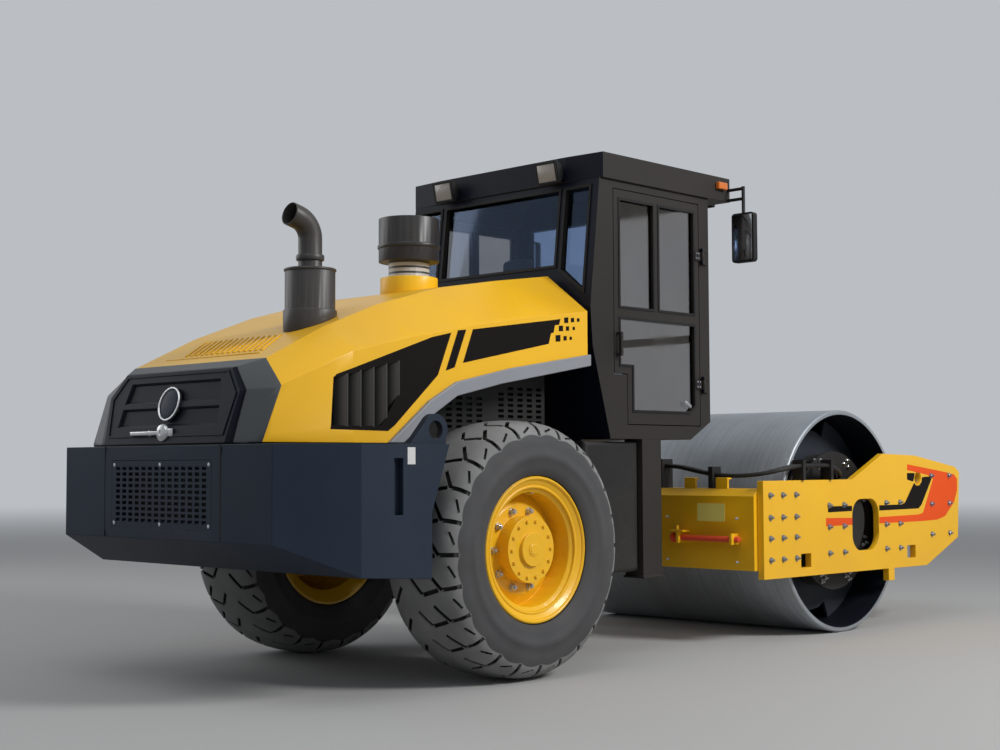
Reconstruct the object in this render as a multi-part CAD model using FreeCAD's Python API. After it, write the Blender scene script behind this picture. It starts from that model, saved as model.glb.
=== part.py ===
import FreeCAD, Part
import math
import os

# Single-drum road roller: ballasted rear frame with engine hood, cab and two tyred wheels, and a
# front frame with a smooth drum, joined by a centre joint that steers and oscillates.
# Millimetres. +X towards the drum, +Y to the left, +Z up, the ground at z = 0.
# Lengths along X are measured from the rear axle; save() moves every piece so that the origin
# lies on the ground, midway between the rear face and the front end of the machine.

V = FreeCAD.Vector

# Fits between pieces
running_gap = 0.05
seat_gap = 0.3
door_gap = 6.0

# Rear wheels
tyre_radius = 735.0
tyre_outer_y = 1195.0
tyre_width = 578.0
tyre_sides = 42
shoulder_drop = 95.0
sidewall_height = 125.0
rim_radius = 345.0
rim_flange = 70.0
rim_inset = 45.0
rim_wall = 22.0
hub_radius = 190.0
hub_inset = 65.0
hub_depth = 180.0
lug_count = 24
lug_width = 112.0
lug_slant = 14.0
lug_depth = 34.0
lug_gap = 34.0

# Rear axle
spindle_radius = 80.0
axle_tube_radius = 120.0
axle_collar_radius = 150.0
axle_bulb_radius = 235.0
axle_bulb_half = 110.0
axle_pad_half = 160.0
axle_pad_height = 155.0

# Rear frame
rail_to_tyre = 117.0
rail_width = 80.0
rail_below_axle = 135.0
rail_above_axle = 225.0
rail_step_x = -800.0
rail_plate = 60.0
nose_plate = 40.0

# Counterweight
rear_overhang = 1733.0
cw_rise = 365.0
cw_half_width = 1200.0
cw_rear_height = 500.0
cw_side_height = 704.0
cw_corner_depth = 392.0
cw_corner_width = 227.0
cw_rear_half = 532.0
cw_tyre_gap = 119.0
cw_lean = 128.0
cw_wall = 130.0
cw_side_wall = 330.0
cw_floor = 60.0
grille_half_width = 470.0
grille_height = 364.0
grille_drop = 81.0
grille_plate = 8.0
grille_columns = 14
grille_rows = 10

# Engine, exhaust and the cab's fittings
engine_length = 1150.0
engine_height = 895.0
stack_setback = 506.0
stack_side = 350.0
stack_can_radius = 141.0
stack_can_height = 245.0
seat_setback = 367.5
seat_pedestal = 275.0
seat_back_height = 590.0
column_height = 695.0

# Centre joint
axle_to_joint = 1750.0
rail_to_joint = 350.0
steer_pin_radius = 50.0
ear_plate = 50.0
ear_below_joint = 175.0
ear_radius = 120.0
trunnion_radius = 85.0
arm_forward = 140.0
arm_side = 240.0
arm_plate = 25.0
eye_radius = 55.0
eye_height = 60.0
barrel_pin_back = 1030.0
barrel_pin_inset = 160.0
barrel_pin_radius = 20.0
barrel_radius = 45.0
barrel_length = 760.0
rod_radius = 26.0
rod_engagement = 257.0

# Front frame and drum
joint_to_beam = 450.0
beam_depth = 220.0
beam_to_drum = 140.0
beam_below_joint = 240.0
beam_above_joint = 310.0
drum_radius = 800.0
drum_wall = 35.0
drum_half_width = 1065.0
drum_recess = 275.0
drum_disc = 28.0
drum_bevel = 8.0
disc_window_depth = 130.0
hub_ring_radius = 230.0
carrier_radius = 500.0
carrier_plate = 25.0
buffer_radius = 50.0
side_plate_gap = 35.0
side_plate = 50.0
drum_to_front_beam = 400.0
front_beam_depth = 270.0
plate_nose = 147.0
scraper_gap = 10.0
scraper_plate = 16.0
tie_hole_radius = 50.0

# Hoses from the front frame's manifold to the drum's drive
hose_radius = 15.0
hose_spacing = 40.0

# Cab
cab_half_width = 850.0
cab_length = 1235.0
cab_over_joint = 315.0
cab_floor_rise = 415.0
cab_height = 1645.0
cab_waist = 825.0
cab_wall = 60.0
cab_floor_plate = 50.0
roof_height = 165.0
roof_side_reach = 20.0
roof_front_reach = 230.0
door_leaf = 45.0
door_hinge_reach = 18.0
hinge_radius = 13.0
hinge_pin_radius = 6.0
hinge_half = 55.0
knuckle_half = 30.0
glass = 8.0

# Hood
hood_wall = 25.0
cap_wall = 30.0
cap_depth = 237.0
hood_gap = 30.0
hood_hinge_y = 400.0
arch_clearance = 213.0
arch_band = 30.0

# Guards
mesh_to_tyre = 32.0
mesh_plate = 10.0

# Places that follow from the sizes above
tyre_inner_y = tyre_outer_y - tyre_width
axle_z = tyre_radius
drum_z = drum_radius
rail_y = tyre_inner_y - rail_to_tyre - rail_width / 2.0
rail_outer_y = rail_y + rail_width / 2.0
rail_bottom_z = axle_z - rail_below_axle
rail_top_z = axle_z + rail_above_axle
cw_top_z = rail_top_z + cw_rise
cw_bottom_z = cw_top_z - cw_side_height
cw_rear_bottom_z = cw_top_z - cw_rear_height
cw_corner_x = -rear_overhang + cw_corner_depth
cw_front_bottom_x = -tyre_radius - cw_tyre_gap
cw_front_top_x = cw_front_bottom_x + cw_lean
steer_x = axle_to_joint
joint_z = axle_z
rail_front_x = steer_x - rail_to_joint
ear_gap_low_z = joint_z - ear_below_joint
ear_gap_high_z = joint_z + ear_below_joint
barrel_pin_x = steer_x - barrel_pin_back
barrel_pin_y = rail_y - barrel_pin_inset
beam_rear_x = steer_x + joint_to_beam
beam_front_x = beam_rear_x + beam_depth
beam_low_z = joint_z - beam_below_joint
beam_top_z = joint_z + beam_above_joint
drum_x = beam_front_x + beam_to_drum + drum_radius
front_beam_rear_x = drum_x + drum_radius + drum_to_front_beam
front_beam_front_x = front_beam_rear_x + front_beam_depth
front_x = front_beam_front_x + plate_nose
plate_inner_y = drum_half_width + side_plate_gap
plate_outer_y = plate_inner_y + side_plate
cab_front_x = steer_x + cab_over_joint
cab_rear_x = cab_front_x - cab_length
cab_mid_x = (cab_front_x + cab_rear_x) / 2.0
cab_floor_z = rail_top_z + cab_floor_rise
cab_top_z = cab_floor_z + cab_height
cab_waist_z = cab_floor_z + cab_waist
roof_top_z = cab_top_z + roof_height
roof_half_width = cab_half_width + roof_side_reach
roof_rear_x = cab_rear_x + 85.0
roof_front_x = cab_front_x + roof_front_reach
door_hinge_x = cab_front_x - 90.0
door_hinge_y = cab_half_width + door_hinge_reach
door_hinge_z = (cab_floor_z + 370.0, cab_top_z - 406.0)
hood_bottom_z = cw_top_z + 10.0
hood_front_x = cab_rear_x - hood_gap
hood_tail_x = -rear_overhang + cap_depth
hood_side_y = cab_half_width
hood_hinge_x = hood_front_x + 24.0
mesh_y = tyre_inner_y - mesh_to_tyre
mid_length_x = (front_x - rear_overhang) / 2.0


def box(x0, x1, y0, y1, z0, z1):
    return Part.makeBox(x1 - x0, y1 - y0, z1 - z0, V(x0, y0, z0))


def rod(radius, start, end):
    way = V(*end).sub(V(*start))
    return Part.makeCylinder(radius, way.Length, V(*start), way)


def prism_y(outline, y0, y1):
    """Solid between y0 and y1 whose side view is the closed outline of (x, z) points."""
    wire = Part.makePolygon([V(x, y0, z) for x, z in outline + outline[:1]])
    return Part.Face(wire).extrude(V(0, y1 - y0, 0))


def prism_z(outline, z0, z1):
    """Solid between z0 and z1 whose plan is the closed outline of (x, y) points."""
    wire = Part.makePolygon([V(x, y, z0) for x, y in outline + outline[:1]])
    return Part.Face(wire).extrude(V(0, 0, z1 - z0))


def prism_x(outline, x0, x1):
    """Solid between x0 and x1 whose end view is the closed outline of (y, z) points."""
    wire = Part.makePolygon([V(x0, y, z) for y, z in outline + outline[:1]])
    return Part.Face(wire).extrude(V(x1 - x0, 0, 0))


def turned_y(profile, x, z):
    """Solid turned about an axis along Y through (x, z), from closed (radius, y) points."""
    wire = Part.makePolygon([V(x + r, y, z) for r, y in profile + profile[:1]])
    return Part.Face(wire).revolve(V(x, 0, z), V(0, 1, 0), 360)


def turned_z(profile, x, y):
    """Solid turned about a vertical axis through (x, y), from closed (radius, z) points."""
    wire = Part.makePolygon([V(x + r, y, z) for r, z in profile + profile[:1]])
    return Part.Face(wire).revolve(V(x, y, 0), V(0, 0, 1), 360)


def many_sided_y(profile, sides, x, z):
    """Like turned_y, but as a ring of flat faces, for a large round that touches no round seat."""
    def place(radius, y, step):
        angle = 2.0 * math.pi * step / sides
        return V(x + radius * math.cos(angle), y, z + radius * math.sin(angle))

    faces = []
    for (r0, y0), (r1, y1) in zip(profile, profile[1:] + profile[:1]):
        for step in range(sides):
            corners = [place(r0, y0, step), place(r0, y0, step + 1),
                       place(r1, y1, step + 1), place(r1, y1, step)]
            faces.append(Part.Face(Part.makePolygon(corners + corners[:1])))
    solid = Part.makeSolid(Part.makeShell(faces))
    if solid.Volume < 0:
        solid.reverse()
    return solid


def loft(sections):
    """Ruled solid through closed sections of equally many points."""
    wires = [Part.makePolygon([V(*p) for p in points + points[:1]]) for points in sections]
    solid = Part.makeLoft(wires, True, True)
    if solid.Volume < 0:
        solid.reverse()
    return solid


def tube_along(points, radius):
    """Round tube along straight runs joined by tangent arcs as large as the runs allow."""
    places = [V(*p) for p in points]
    edges = []
    last = places[0]
    for before, corner, after in zip(places, places[1:], places[2:]):
        to_before = before.sub(corner)
        to_after = after.sub(corner)
        reach = 0.45 * min(to_before.Length, to_after.Length)
        arc_start = corner.add(V(to_before).normalize().multiply(reach))
        arc_end = corner.add(V(to_after).normalize().multiply(reach))
        half_turn = (math.pi - to_before.getAngle(to_after)) / 2.0
        bend = reach / math.tan(half_turn)
        inward = arc_start.add(arc_end).multiply(0.5).sub(corner).normalize()
        arc_mid = corner.add(inward.multiply(bend / math.cos(half_turn) - bend))
        edges.append(Part.LineSegment(last, arc_start).toShape())
        edges.append(Part.Arc(arc_start, arc_mid, arc_end).toShape())
        last = arc_end
    edges.append(Part.LineSegment(last, places[-1]).toShape())
    first_way = places[1].sub(places[0])
    circle = Part.Wire(Part.makeCircle(radius, places[0], first_way))
    return Part.Wire(edges).makePipeShell([circle], True, False)


def fused(shapes):
    whole = shapes[0].multiFuse(shapes[1:])
    return whole.removeSplitter()


def mirrored(shape):
    """The same piece on the other side of the machine's centre plane."""
    return shape.mirror(V(0, 0, 0), V(0, 1, 0))


def both_sides(shape):
    return Part.makeCompound([shape, mirrored(shape)])


def save(name, shape):
    placed = shape.copy()
    placed.translate(V(-mid_length_x, 0, 0))
    placed.exportStep("parts/" + name + ".step")


def barrel_profile():
    """Outside of the rim's barrel from the outer to the inner flange, as (radius, y) points."""
    outer_y = -tyre_outer_y + rim_inset
    inner_y = -tyre_inner_y - rim_inset
    flange_radius = rim_radius + rim_flange
    return [(flange_radius, outer_y), (flange_radius, outer_y + 24.0), (rim_radius, outer_y + 60.0),
            (rim_radius, inner_y - 60.0), (flange_radius, inner_y - 24.0), (flange_radius, inner_y)]


def tyre():
    """Right-hand tyre: carcass seated on the rim, with two staggered rows of slanted lugs."""
    outer_y = -tyre_outer_y
    inner_y = -tyre_inner_y
    mid_y = (outer_y + inner_y) / 2.0
    half = tyre_width / 2.0
    flange_radius = rim_radius + rim_flange
    shoulder_radius = tyre_radius - shoulder_drop
    groove_radius = tyre_radius - lug_depth
    side_radius = flange_radius + sidewall_height
    flat_to_corner = 1.0 / math.cos(math.pi / tyre_sides)
    seat = [((r + seat_gap) * flat_to_corner, y) for r, y in barrel_profile()]
    carcass = many_sided_y(seat + [
        (flange_radius + 20.0, inner_y - 20.0),
        (side_radius, inner_y),
        (shoulder_radius - 10.0, inner_y - 14.0),
        (groove_radius - 14.0, inner_y - 80.0),
        (groove_radius - 14.0, outer_y + 80.0),
        (shoulder_radius - 10.0, outer_y + 14.0),
        (side_radius, outer_y),
        (flange_radius + 20.0, outer_y + 20.0),
    ], tyre_sides, 0.0, axle_z)
    section = [(groove_radius - 40.0, lug_gap / 2.0), (tyre_radius, lug_gap / 2.0),
               (tyre_radius, half - 110.0), (tyre_radius - 34.0, half - 40.0),
               (shoulder_radius - 20.0, half - 14.0), (shoulder_radius - 40.0, half - 60.0)]
    lugs = []
    for row in (-1.0, 1.0):
        for i in range(lug_count):
            wire = Part.makePolygon([V(row * y, 0, -r) for r, y in section + section[:1]])
            lug = Part.Face(wire).extrude(V(0, lug_width, 0))
            lug.translate(V(0, -lug_width / 2.0, 0))
            lug.rotate(V(0, 0, 0), V(0, 0, 1), 90.0 + row * lug_slant)
            lug.rotate(V(0, 0, 0), V(0, 1, 0), 360.0 / lug_count * (i + 0.25 + row * 0.25))
            lug.translate(V(0, mid_y, axle_z))
            lugs.append(lug)
    return fused([carcass] + lugs)


def wheel_rim():
    """Right-hand rim: flanged barrel, dished disc and final-drive hub, bored for the axle end."""
    outer_y = -tyre_outer_y + rim_inset
    inner_y = -tyre_inner_y - rim_inset
    mid_y = (outer_y + inner_y) / 2.0
    face_y = -tyre_outer_y + hub_inset
    flange_radius = rim_radius + rim_flange
    barrel = turned_y(barrel_profile() + [
        (flange_radius - 14.0, inner_y),
        (rim_radius - rim_wall, inner_y - 45.0),
        (rim_radius - rim_wall, outer_y + 45.0),
        (flange_radius - 14.0, outer_y),
    ], 0.0, axle_z)
    bore = spindle_radius + running_gap
    disc = turned_y([
        (bore, face_y + hub_depth),
        (bore, face_y + rail_plate),
        (0.0, face_y + rail_plate),
        (0.0, face_y),
        (hub_radius / 2.0, face_y),
        (hub_radius / 2.0, face_y + 20.0),
        (hub_radius, face_y + 20.0),
        (hub_radius, face_y + 110.0),
        (hub_radius + 65.0, face_y + 110.0),
        (rim_radius - rim_wall, mid_y - 60.0),
        (rim_radius - rim_wall, mid_y - 30.0),
        (hub_radius + 60.0, face_y + 140.0),
        (hub_radius, face_y + hub_depth),
    ], 0.0, axle_z)
    return fused([barrel, disc])


def rear_axle():
    """Axle beam with the differential bulb, ending in spindles inside the wheel hubs."""
    end_y = tyre_outer_y - hub_inset - rail_plate - 2.0
    collar_y = tyre_inner_y - 57.0
    tube = turned_y([
        (0.0, -end_y),
        (spindle_radius, -end_y),
        (spindle_radius, -collar_y),
        (axle_collar_radius, -collar_y),
        (axle_collar_radius, -collar_y + 40.0),
        (axle_tube_radius, -collar_y + 80.0),
        (axle_tube_radius, -axle_bulb_half - 150.0),
        (axle_bulb_radius, -axle_bulb_half),
        (axle_bulb_radius, axle_bulb_half),
        (axle_tube_radius, axle_bulb_half + 150.0),
        (axle_tube_radius, collar_y - 80.0),
        (axle_collar_radius, collar_y - 40.0),
        (axle_collar_radius, collar_y),
        (spindle_radius, collar_y),
        (spindle_radius, end_y),
        (0.0, end_y),
    ], 0.0, axle_z)
    pads = [box(-axle_pad_half, axle_pad_half, s * rail_y - rail_width * 0.75,
                s * rail_y + rail_width * 0.75, rail_bottom_z - 20.0, axle_z + axle_pad_height)
            for s in (-1.0, 1.0)]
    nose = rod(90.0, (0.0, 0.0, axle_z), (axle_bulb_radius + 95.0, 0.0, axle_z))
    return fused([tube, nose] + pads)


def rail_bar(side, x0, x1, z0, z1):
    return box(x0, x1, side * rail_y - rail_width / 2.0, side * rail_y + rail_width / 2.0, z0, z1)


def cw_floor_z(x):
    """Top of the counterweight's floor, which rises from the deep sides to the rear wall."""
    low = cw_bottom_z + 29.0 + cw_floor
    high = cw_rear_bottom_z + cw_floor
    if x >= cw_corner_x:
        return low
    return low + (high - low) * (cw_corner_x - x) / (cw_corner_depth - cw_wall)


def rear_frame():
    """Two rails with cross members, and a nose plate with the two steering ears."""
    tail_x = -rear_overhang + cw_wall
    side_view = [(tail_x, rail_top_z), (tail_x, cw_floor_z(tail_x) + seat_gap),
                 (cw_corner_x, cw_floor_z(cw_corner_x) + 12.0),
                 (rail_step_x - 40.0, cw_floor_z(rail_step_x) + seat_gap),
                 (rail_step_x, rail_bottom_z), (rail_front_x, rail_bottom_z),
                 (rail_front_x, rail_top_z)]
    rails = [prism_y(side_view, s * rail_y - rail_width / 2.0, s * rail_y + rail_width / 2.0)
             for s in (-1.0, 1.0)]
    cab_legs = [rail_bar(s, cab_rear_x + 230.0, cab_rear_x + 310.0, rail_top_z, cab_floor_z)
                for s in (-1.0, 1.0)]
    pad_clear = [box(-axle_pad_half - seat_gap, axle_pad_half + seat_gap,
                     s * rail_y - rail_width * 0.75, s * rail_y + rail_width * 0.75,
                     rail_bottom_z - 1.0, axle_z + axle_pad_height + seat_gap) for s in (-1.0, 1.0)]
    cross = [box(x, x + rail_plate, -rail_y, rail_y, rail_top_z - 120.0, rail_top_z)
             for x in (rail_step_x - 300.0, rail_step_x + 350.0, axle_bulb_radius + 165.0)]
    clevis_cross = box(barrel_pin_x - 160.0, barrel_pin_x - 80.0, -rail_y, rail_y, rail_bottom_z,
                       rail_top_z)
    barrel_lugs = [box(barrel_pin_x - 80.0, barrel_pin_x + 32.0, s * barrel_pin_y - barrel_radius,
                       s * barrel_pin_y + barrel_radius, joint_z + low, joint_z + low + 25.0)
                   for s in (-1.0, 1.0) for low in (-62.0, 37.0)]
    nose_x = rail_front_x + nose_plate
    nose = box(rail_front_x, nose_x, -rail_outer_y, rail_outer_y, ear_gap_low_z - ear_plate,
               rail_top_z + 40.0)
    windows = [box(rail_front_x - 1.0, nose_x + 1.0, min(s * 140.0, s * 380.0),
                   max(s * 140.0, s * 380.0), joint_z - 75.0, joint_z + 75.0) for s in (-1.0, 1.0)]
    ears = []
    for z in (ear_gap_low_z - ear_plate, ear_gap_high_z):
        ears.append(prism_z([(nose_x, -260.0), (steer_x, -ear_radius), (steer_x, ear_radius),
                             (nose_x, 260.0)], z, z + ear_plate))
        ears.append(Part.makeCylinder(ear_radius, ear_plate, V(steer_x, 0, z)))
    web_low_z = ear_gap_high_z + ear_plate
    webs = [prism_y([(nose_x, web_low_z), (nose_x, rail_top_z + 40.0), (nose_x + 200.0, web_low_z)],
                    s * 200.0 - 15.0, s * 200.0 + 15.0) for s in (-1.0, 1.0)]
    whole = fused(rails + cab_legs + cross + [clevis_cross, nose] + barrel_lugs + ears + webs)
    bores = [Part.makeCylinder(steer_pin_radius + running_gap, 4.0 * ear_below_joint,
                               V(steer_x, 0, joint_z - 2.0 * ear_below_joint))]
    bores += [Part.makeCylinder(barrel_pin_radius + running_gap, 200.0,
                                V(barrel_pin_x, s * barrel_pin_y, joint_z - 100.0))
              for s in (-1.0, 1.0)]
    return whole.cut(Part.makeCompound(windows + bores + pad_clear))


def counterweight():
    """Ballast that wraps the tail: rear wall, swept corners and deep sides, open inside."""
    corner_y = cw_half_width - cw_corner_width
    swept_x = -rear_overhang + 7.0
    plan = [(-rear_overhang, -cw_rear_half), (swept_x, -corner_y), (cw_corner_x, -cw_half_width),
            (cw_front_top_x, -cw_half_width), (cw_front_top_x, cw_half_width),
            (cw_corner_x, cw_half_width), (swept_x, corner_y), (-rear_overhang, cw_rear_half)]
    side_view = [(-rear_overhang - 1.0, cw_rear_bottom_z), (-rear_overhang - 1.0, cw_top_z),
                 (cw_front_top_x, cw_top_z), (cw_front_bottom_x, cw_top_z - 359.0),
                 (cw_front_bottom_x, cw_bottom_z), (cw_corner_x, cw_bottom_z + 29.0)]
    body = prism_z(plan, cw_bottom_z - 10.0, cw_top_z).common(
        prism_y(side_view, -cw_half_width, cw_half_width))
    inner_half = cw_half_width - cw_side_wall
    inner_x = -rear_overhang + cw_wall
    hollow = prism_y([(inner_x, cw_top_z + 1.0), (inner_x, cw_floor_z(inner_x)),
                      (cw_corner_x, cw_floor_z(cw_corner_x)), (0.0, cw_floor_z(0.0)),
                      (0.0, cw_top_z + 1.0)], -inner_half, inner_half)
    high_z = cw_top_z - grille_drop
    low_z = high_z - grille_height
    window = box(-rear_overhang - 5.0, inner_x + 5.0, -grille_half_width + 40.0,
                 grille_half_width - 40.0, low_z + 40.0, high_z - 40.0)
    panel_seat = box(-rear_overhang - 5.0, -rear_overhang + grille_plate, -grille_half_width,
                     grille_half_width, low_z, high_z)
    slots = [box(cw_corner_x + 221.0, cw_corner_x + 281.0, s * cw_half_width - 40.0,
                 s * cw_half_width + 40.0, cw_top_z - 367.0, cw_top_z - 74.0) for s in (-1.0, 1.0)]
    return body.cut(Part.makeCompound([hollow, window, panel_seat] + slots))


def rear_grille():
    """Flat panel with a grid of oblong holes over the tail opening."""
    high_z = cw_top_z - grille_drop
    low_z = high_z - grille_height
    plate = box(-rear_overhang, -rear_overhang + grille_plate, -grille_half_width + seat_gap,
                grille_half_width - seat_gap, low_z + seat_gap, high_z - seat_gap)
    pitch_y = (2.0 * grille_half_width - 60.0) / grille_columns
    pitch_z = (grille_height - 50.0) / grille_rows
    holes = []
    for i in range(grille_columns):
        for j in range(grille_rows):
            y = -grille_half_width + 30.0 + (i + 0.5) * pitch_y
            z = low_z + 25.0 + (j + 0.5) * pitch_z
            holes.append(box(-rear_overhang - 1.0, -rear_overhang + grille_plate + 1.0,
                             y - pitch_y * 0.32, y + pitch_y * 0.32, z - pitch_z * 0.29,
                             z + pitch_z * 0.29))
    return plate.cut(Part.makeCompound(holes))


def lifting_eyes():
    """Two thick plates with a rounded head and a round hole, on the counterweight's sides."""
    eye_x = cw_front_top_x - 74.0
    eye_z = cw_top_z + 75.0
    outer_y = -cw_half_width + 30.0
    inner_y = outer_y + 40.0
    foot = prism_y([(eye_x - 185.0, cw_top_z), (eye_x - 60.0, eye_z + 62.0),
                    (eye_x + 80.0, eye_z + 25.0), (eye_x + 72.0, cw_top_z)], outer_y, inner_y)
    head = rod(86.0, (eye_x, outer_y, eye_z), (eye_x, inner_y, eye_z))
    ground = box(eye_x - 300.0, eye_x + 300.0, outer_y - 1.0, inner_y + 1.0, cw_top_z - 60.0,
                 cw_top_z)
    hole = rod(tie_hole_radius, (eye_x, outer_y - 1.0, eye_z), (eye_x, inner_y + 1.0, eye_z))
    return both_sides(fused([foot, head]).cut(Part.makeCompound([ground, hole])))


def engine_block():
    """Engine and pump as one plain mass on four feet."""
    rear_x = rail_step_x - 100.0
    front_x_end = rear_x + engine_length
    half = rail_y - 130.0
    base_z = rail_top_z + 25.0
    feet = [rail_bar(s, x, x + 110.0, rail_top_z, base_z + 35.0)
            for x in (rear_x + 20.0, front_x_end - 130.0) for s in (-1.0, 1.0)]
    block_z = base_z + engine_height - 180.0
    return fused([box(rear_x, front_x_end, -half, half, base_z, block_z),
                  box(rear_x + 140.0, front_x_end - 190.0, -half + 90.0, half - 90.0, block_z,
                      base_z + engine_height),
                  box(rear_x, front_x_end, -rail_y, rail_y, base_z, base_z + 35.0)] + feet)


# Edges of the hood's arch. Columns: share of the way from the arch's rear end to the hood's
# front, and height above the hood's bottom as a share of the arch's rise over the wheel
arch_rear_x = -tyre_radius - 27.0
arch_rise = 2.0 * tyre_radius + arch_clearance - hood_bottom_z
arch_length = hood_front_x - arch_rear_x
upper_shares = [(-0.064, 0.0), (0.129, 0.678), (0.261, 0.997), (0.544, 1.273), (1.0, 1.603)]
lower_shares = [(0.0, 0.0), (0.150, 0.474), (0.261, 0.767), (0.492, 1.0), (1.0, 1.399)]
arch_upper = [(arch_rear_x + a * arch_length, hood_bottom_z + b * arch_rise) for a, b in upper_shares]
arch_lower = [(arch_rear_x + a * arch_length, hood_bottom_z + b * arch_rise) for a, b in lower_shares]


def side_mesh_guards():
    """Punched guard panels that close the engine bay inboard of the wheels, below the hood."""
    y = mesh_y
    low_z = rail_top_z + 100.0
    rear_x = arch_rear_x + 62.0
    end_x = tyre_radius - 45.0
    sheet = prism_y([(x, z + 10.0) for x, z in arch_lower] + [(hood_front_x, low_z),
                    (arch_rear_x, low_z)], -y, -y + mesh_plate)
    panel = sheet.common(box(rear_x, end_x, -y - 1.0, -y + mesh_plate + 1.0, low_z, cab_top_z))
    holes = []
    for first_x, columns in ((rear_x + 560.0, 4), (end_x - 390.0, 5)):
        for i in range(columns):
            for j in range(8):
                x = first_x + i * 84.0
                z = low_z + 380.0 + j * 34.0
                if z < arch_lower[2][1] + (x + 140.0) * 0.16:
                    holes.append(box(x - 24.0, x + 24.0, -y - 1.0, -y + mesh_plate + 1.0,
                                     z - 9.0, z + 9.0))
    legs = [box(x, x + rail_plate, -y + mesh_plate, -rail_y, rail_top_z, low_z + 60.0)
            for x in (rear_x + 80.0, end_x - 130.0)]
    return both_sides(fused([panel.cut(Part.makeCompound(holes))] + legs))


post_rear_x = rail_front_x - 70.0
post_front_x = post_rear_x + 195.0


def tank(side):
    """Box tank under the cab, between the wheel and the support post, hung on the rail."""
    outer_y = -cab_half_width + 30.0
    body = box(tyre_radius + 65.0, post_rear_x - 5.0, outer_y, -rail_outer_y, rail_bottom_z - 70.0,
               cab_floor_z - 15.0)
    edges = [e for e in body.Edges if all(abs(v.Point.y - outer_y) < 1.0 for v in e.Vertexes)]
    shape = body.makeFillet(30.0, edges)
    return shape if side < 0 else mirrored(shape)


def support_posts():
    """Box posts from the cab floor down to a foot, one each side behind the centre joint."""
    outer_y = -cab_half_width
    inner_y = outer_y + 150.0
    low_z = rail_bottom_z - 100.0
    post = box(post_rear_x, post_front_x, outer_y, inner_y, low_z, cab_floor_z)
    foot = box(post_rear_x - 10.0, post_front_x + 10.0, outer_y - 10.0, inner_y + 10.0,
               low_z - 16.0, low_z)
    stay = box(post_rear_x + 10.0, rail_front_x, inner_y, -rail_outer_y, rail_bottom_z + 40.0,
               rail_bottom_z + 160.0)
    return both_sides(fused([post, foot, stay]))


def cab_outline(inset):
    """Side view of the cab, shrunk by the inset."""
    rear_top_x = cab_rear_x + 95.0
    return [(rear_top_x + inset, cab_top_z), (cab_rear_x + inset, cab_waist_z),
            (cab_rear_x + 20.0 + inset, cab_waist_z - 250.0),
            (cab_rear_x + 185.0 + inset, cab_floor_z),
            (cab_front_x - 221.0 - inset * 0.5, cab_floor_z),
            (cab_front_x - inset, cab_floor_z + 122.0 + inset * 0.3),
            (cab_front_x - inset, cab_top_z)]


door_rear_x = cab_rear_x + 230.0
door_front_x = cab_front_x - 115.0
door_top_z = cab_top_z - 55.0
door_low_z = cab_floor_z + 95.0
door_notch_x = door_rear_x + 130.0
door_notch_z = door_low_z + 320.0
door_outline = [(door_rear_x, door_top_z), (door_front_x, door_top_z), (door_front_x, door_low_z),
                (door_notch_x, door_low_z), (door_notch_x, door_notch_z), (door_rear_x, door_notch_z)]


def grown(outline, amount, centre_x, centre_z):
    """Outline of (x, z) points moved away from its centre by the amount on both axes."""
    return [(x + (amount if x > centre_x else -amount), z + (amount if z > centre_z else -amount))
            for x, z in outline]


def rear_windows():
    """Middle and corner windows of the cab's rear wall, as (y, z) outlines."""
    top_z = cab_top_z - 45.0
    mid_half = cab_half_width - 325.0
    corner_in = cab_half_width - 275.0
    corner_out = cab_half_width - 70.0
    sill_z = cab_waist_z + 280.0
    windows = [[(-mid_half, sill_z), (-mid_half, top_z), (mid_half, top_z), (mid_half, sill_z)]]
    for s in (-1.0, 1.0):
        windows.append([(s * corner_in, sill_z - 25.0), (s * corner_in, top_z),
                        (s * corner_out, top_z), (s * corner_out, sill_z - 185.0)])
    return windows


front_window_half = cab_half_width - 90.0
front_windows = ((cab_floor_z + 715.0, cab_top_z - 60.0), (cab_floor_z + 185.0, cab_floor_z + 665.0))


# The hood's cross-sections from the tail forward. Columns: share of the way from the tail to
# the front, lean (x lost per mm of drop), distance of the flat top's edge from the hood's side,
# height of the top above the hood's bottom, distance of the shoulder from the hood's side,
# height of the shoulder, distance of the bottom edge from the hood's side
hood_table = [(0.0, 0.36, 233.0, 443.0, 30.0, 290.0, 50.0),
              (0.1725, 0.0, 250.0, 633.0, 0.0, 487.0, 0.0),
              (0.3467, 0.0, 270.0, 783.0, 0.0, 580.0, 0.0),
              (0.5645, 0.0, 290.0, 920.0, 0.0, 677.0, 0.0),
              (0.7822, 0.0, 310.0, 1003.0, 0.0, 760.0, 0.0),
              (1.0, 0.0, 330.0, 1075.0, 0.0, 828.0, 0.0)]
hood_length = hood_front_x - hood_tail_x
hood_sections = [(hood_tail_x + share * hood_length, lean, hood_side_y - top_in, hood_bottom_z + top_up,
                  hood_side_y - shoulder_in, hood_bottom_z + shoulder_up, hood_side_y - bottom_in)
                 for share, lean, top_in, top_up, shoulder_in, shoulder_up, bottom_in in hood_table]
cap_lean = 0.252
cap_rear_section = (hood_tail_x - 129.0, cap_lean, hood_side_y - 350.0, hood_bottom_z + 390.0,
                    hood_side_y - 240.0, hood_bottom_z + 265.0, hood_side_y - 280.0)
hood_hinge_z = hood_bottom_z + hood_table[-1][3] - 10.0


def hood_top_at(x):
    """Height of the hood's flat top at a place along it."""
    for near, far in zip(hood_sections, hood_sections[1:]):
        if x <= far[0]:
            return near[3] + (far[3] - near[3]) * (x - near[0]) / (far[0] - near[0])
    return hood_sections[-1][3]


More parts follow.
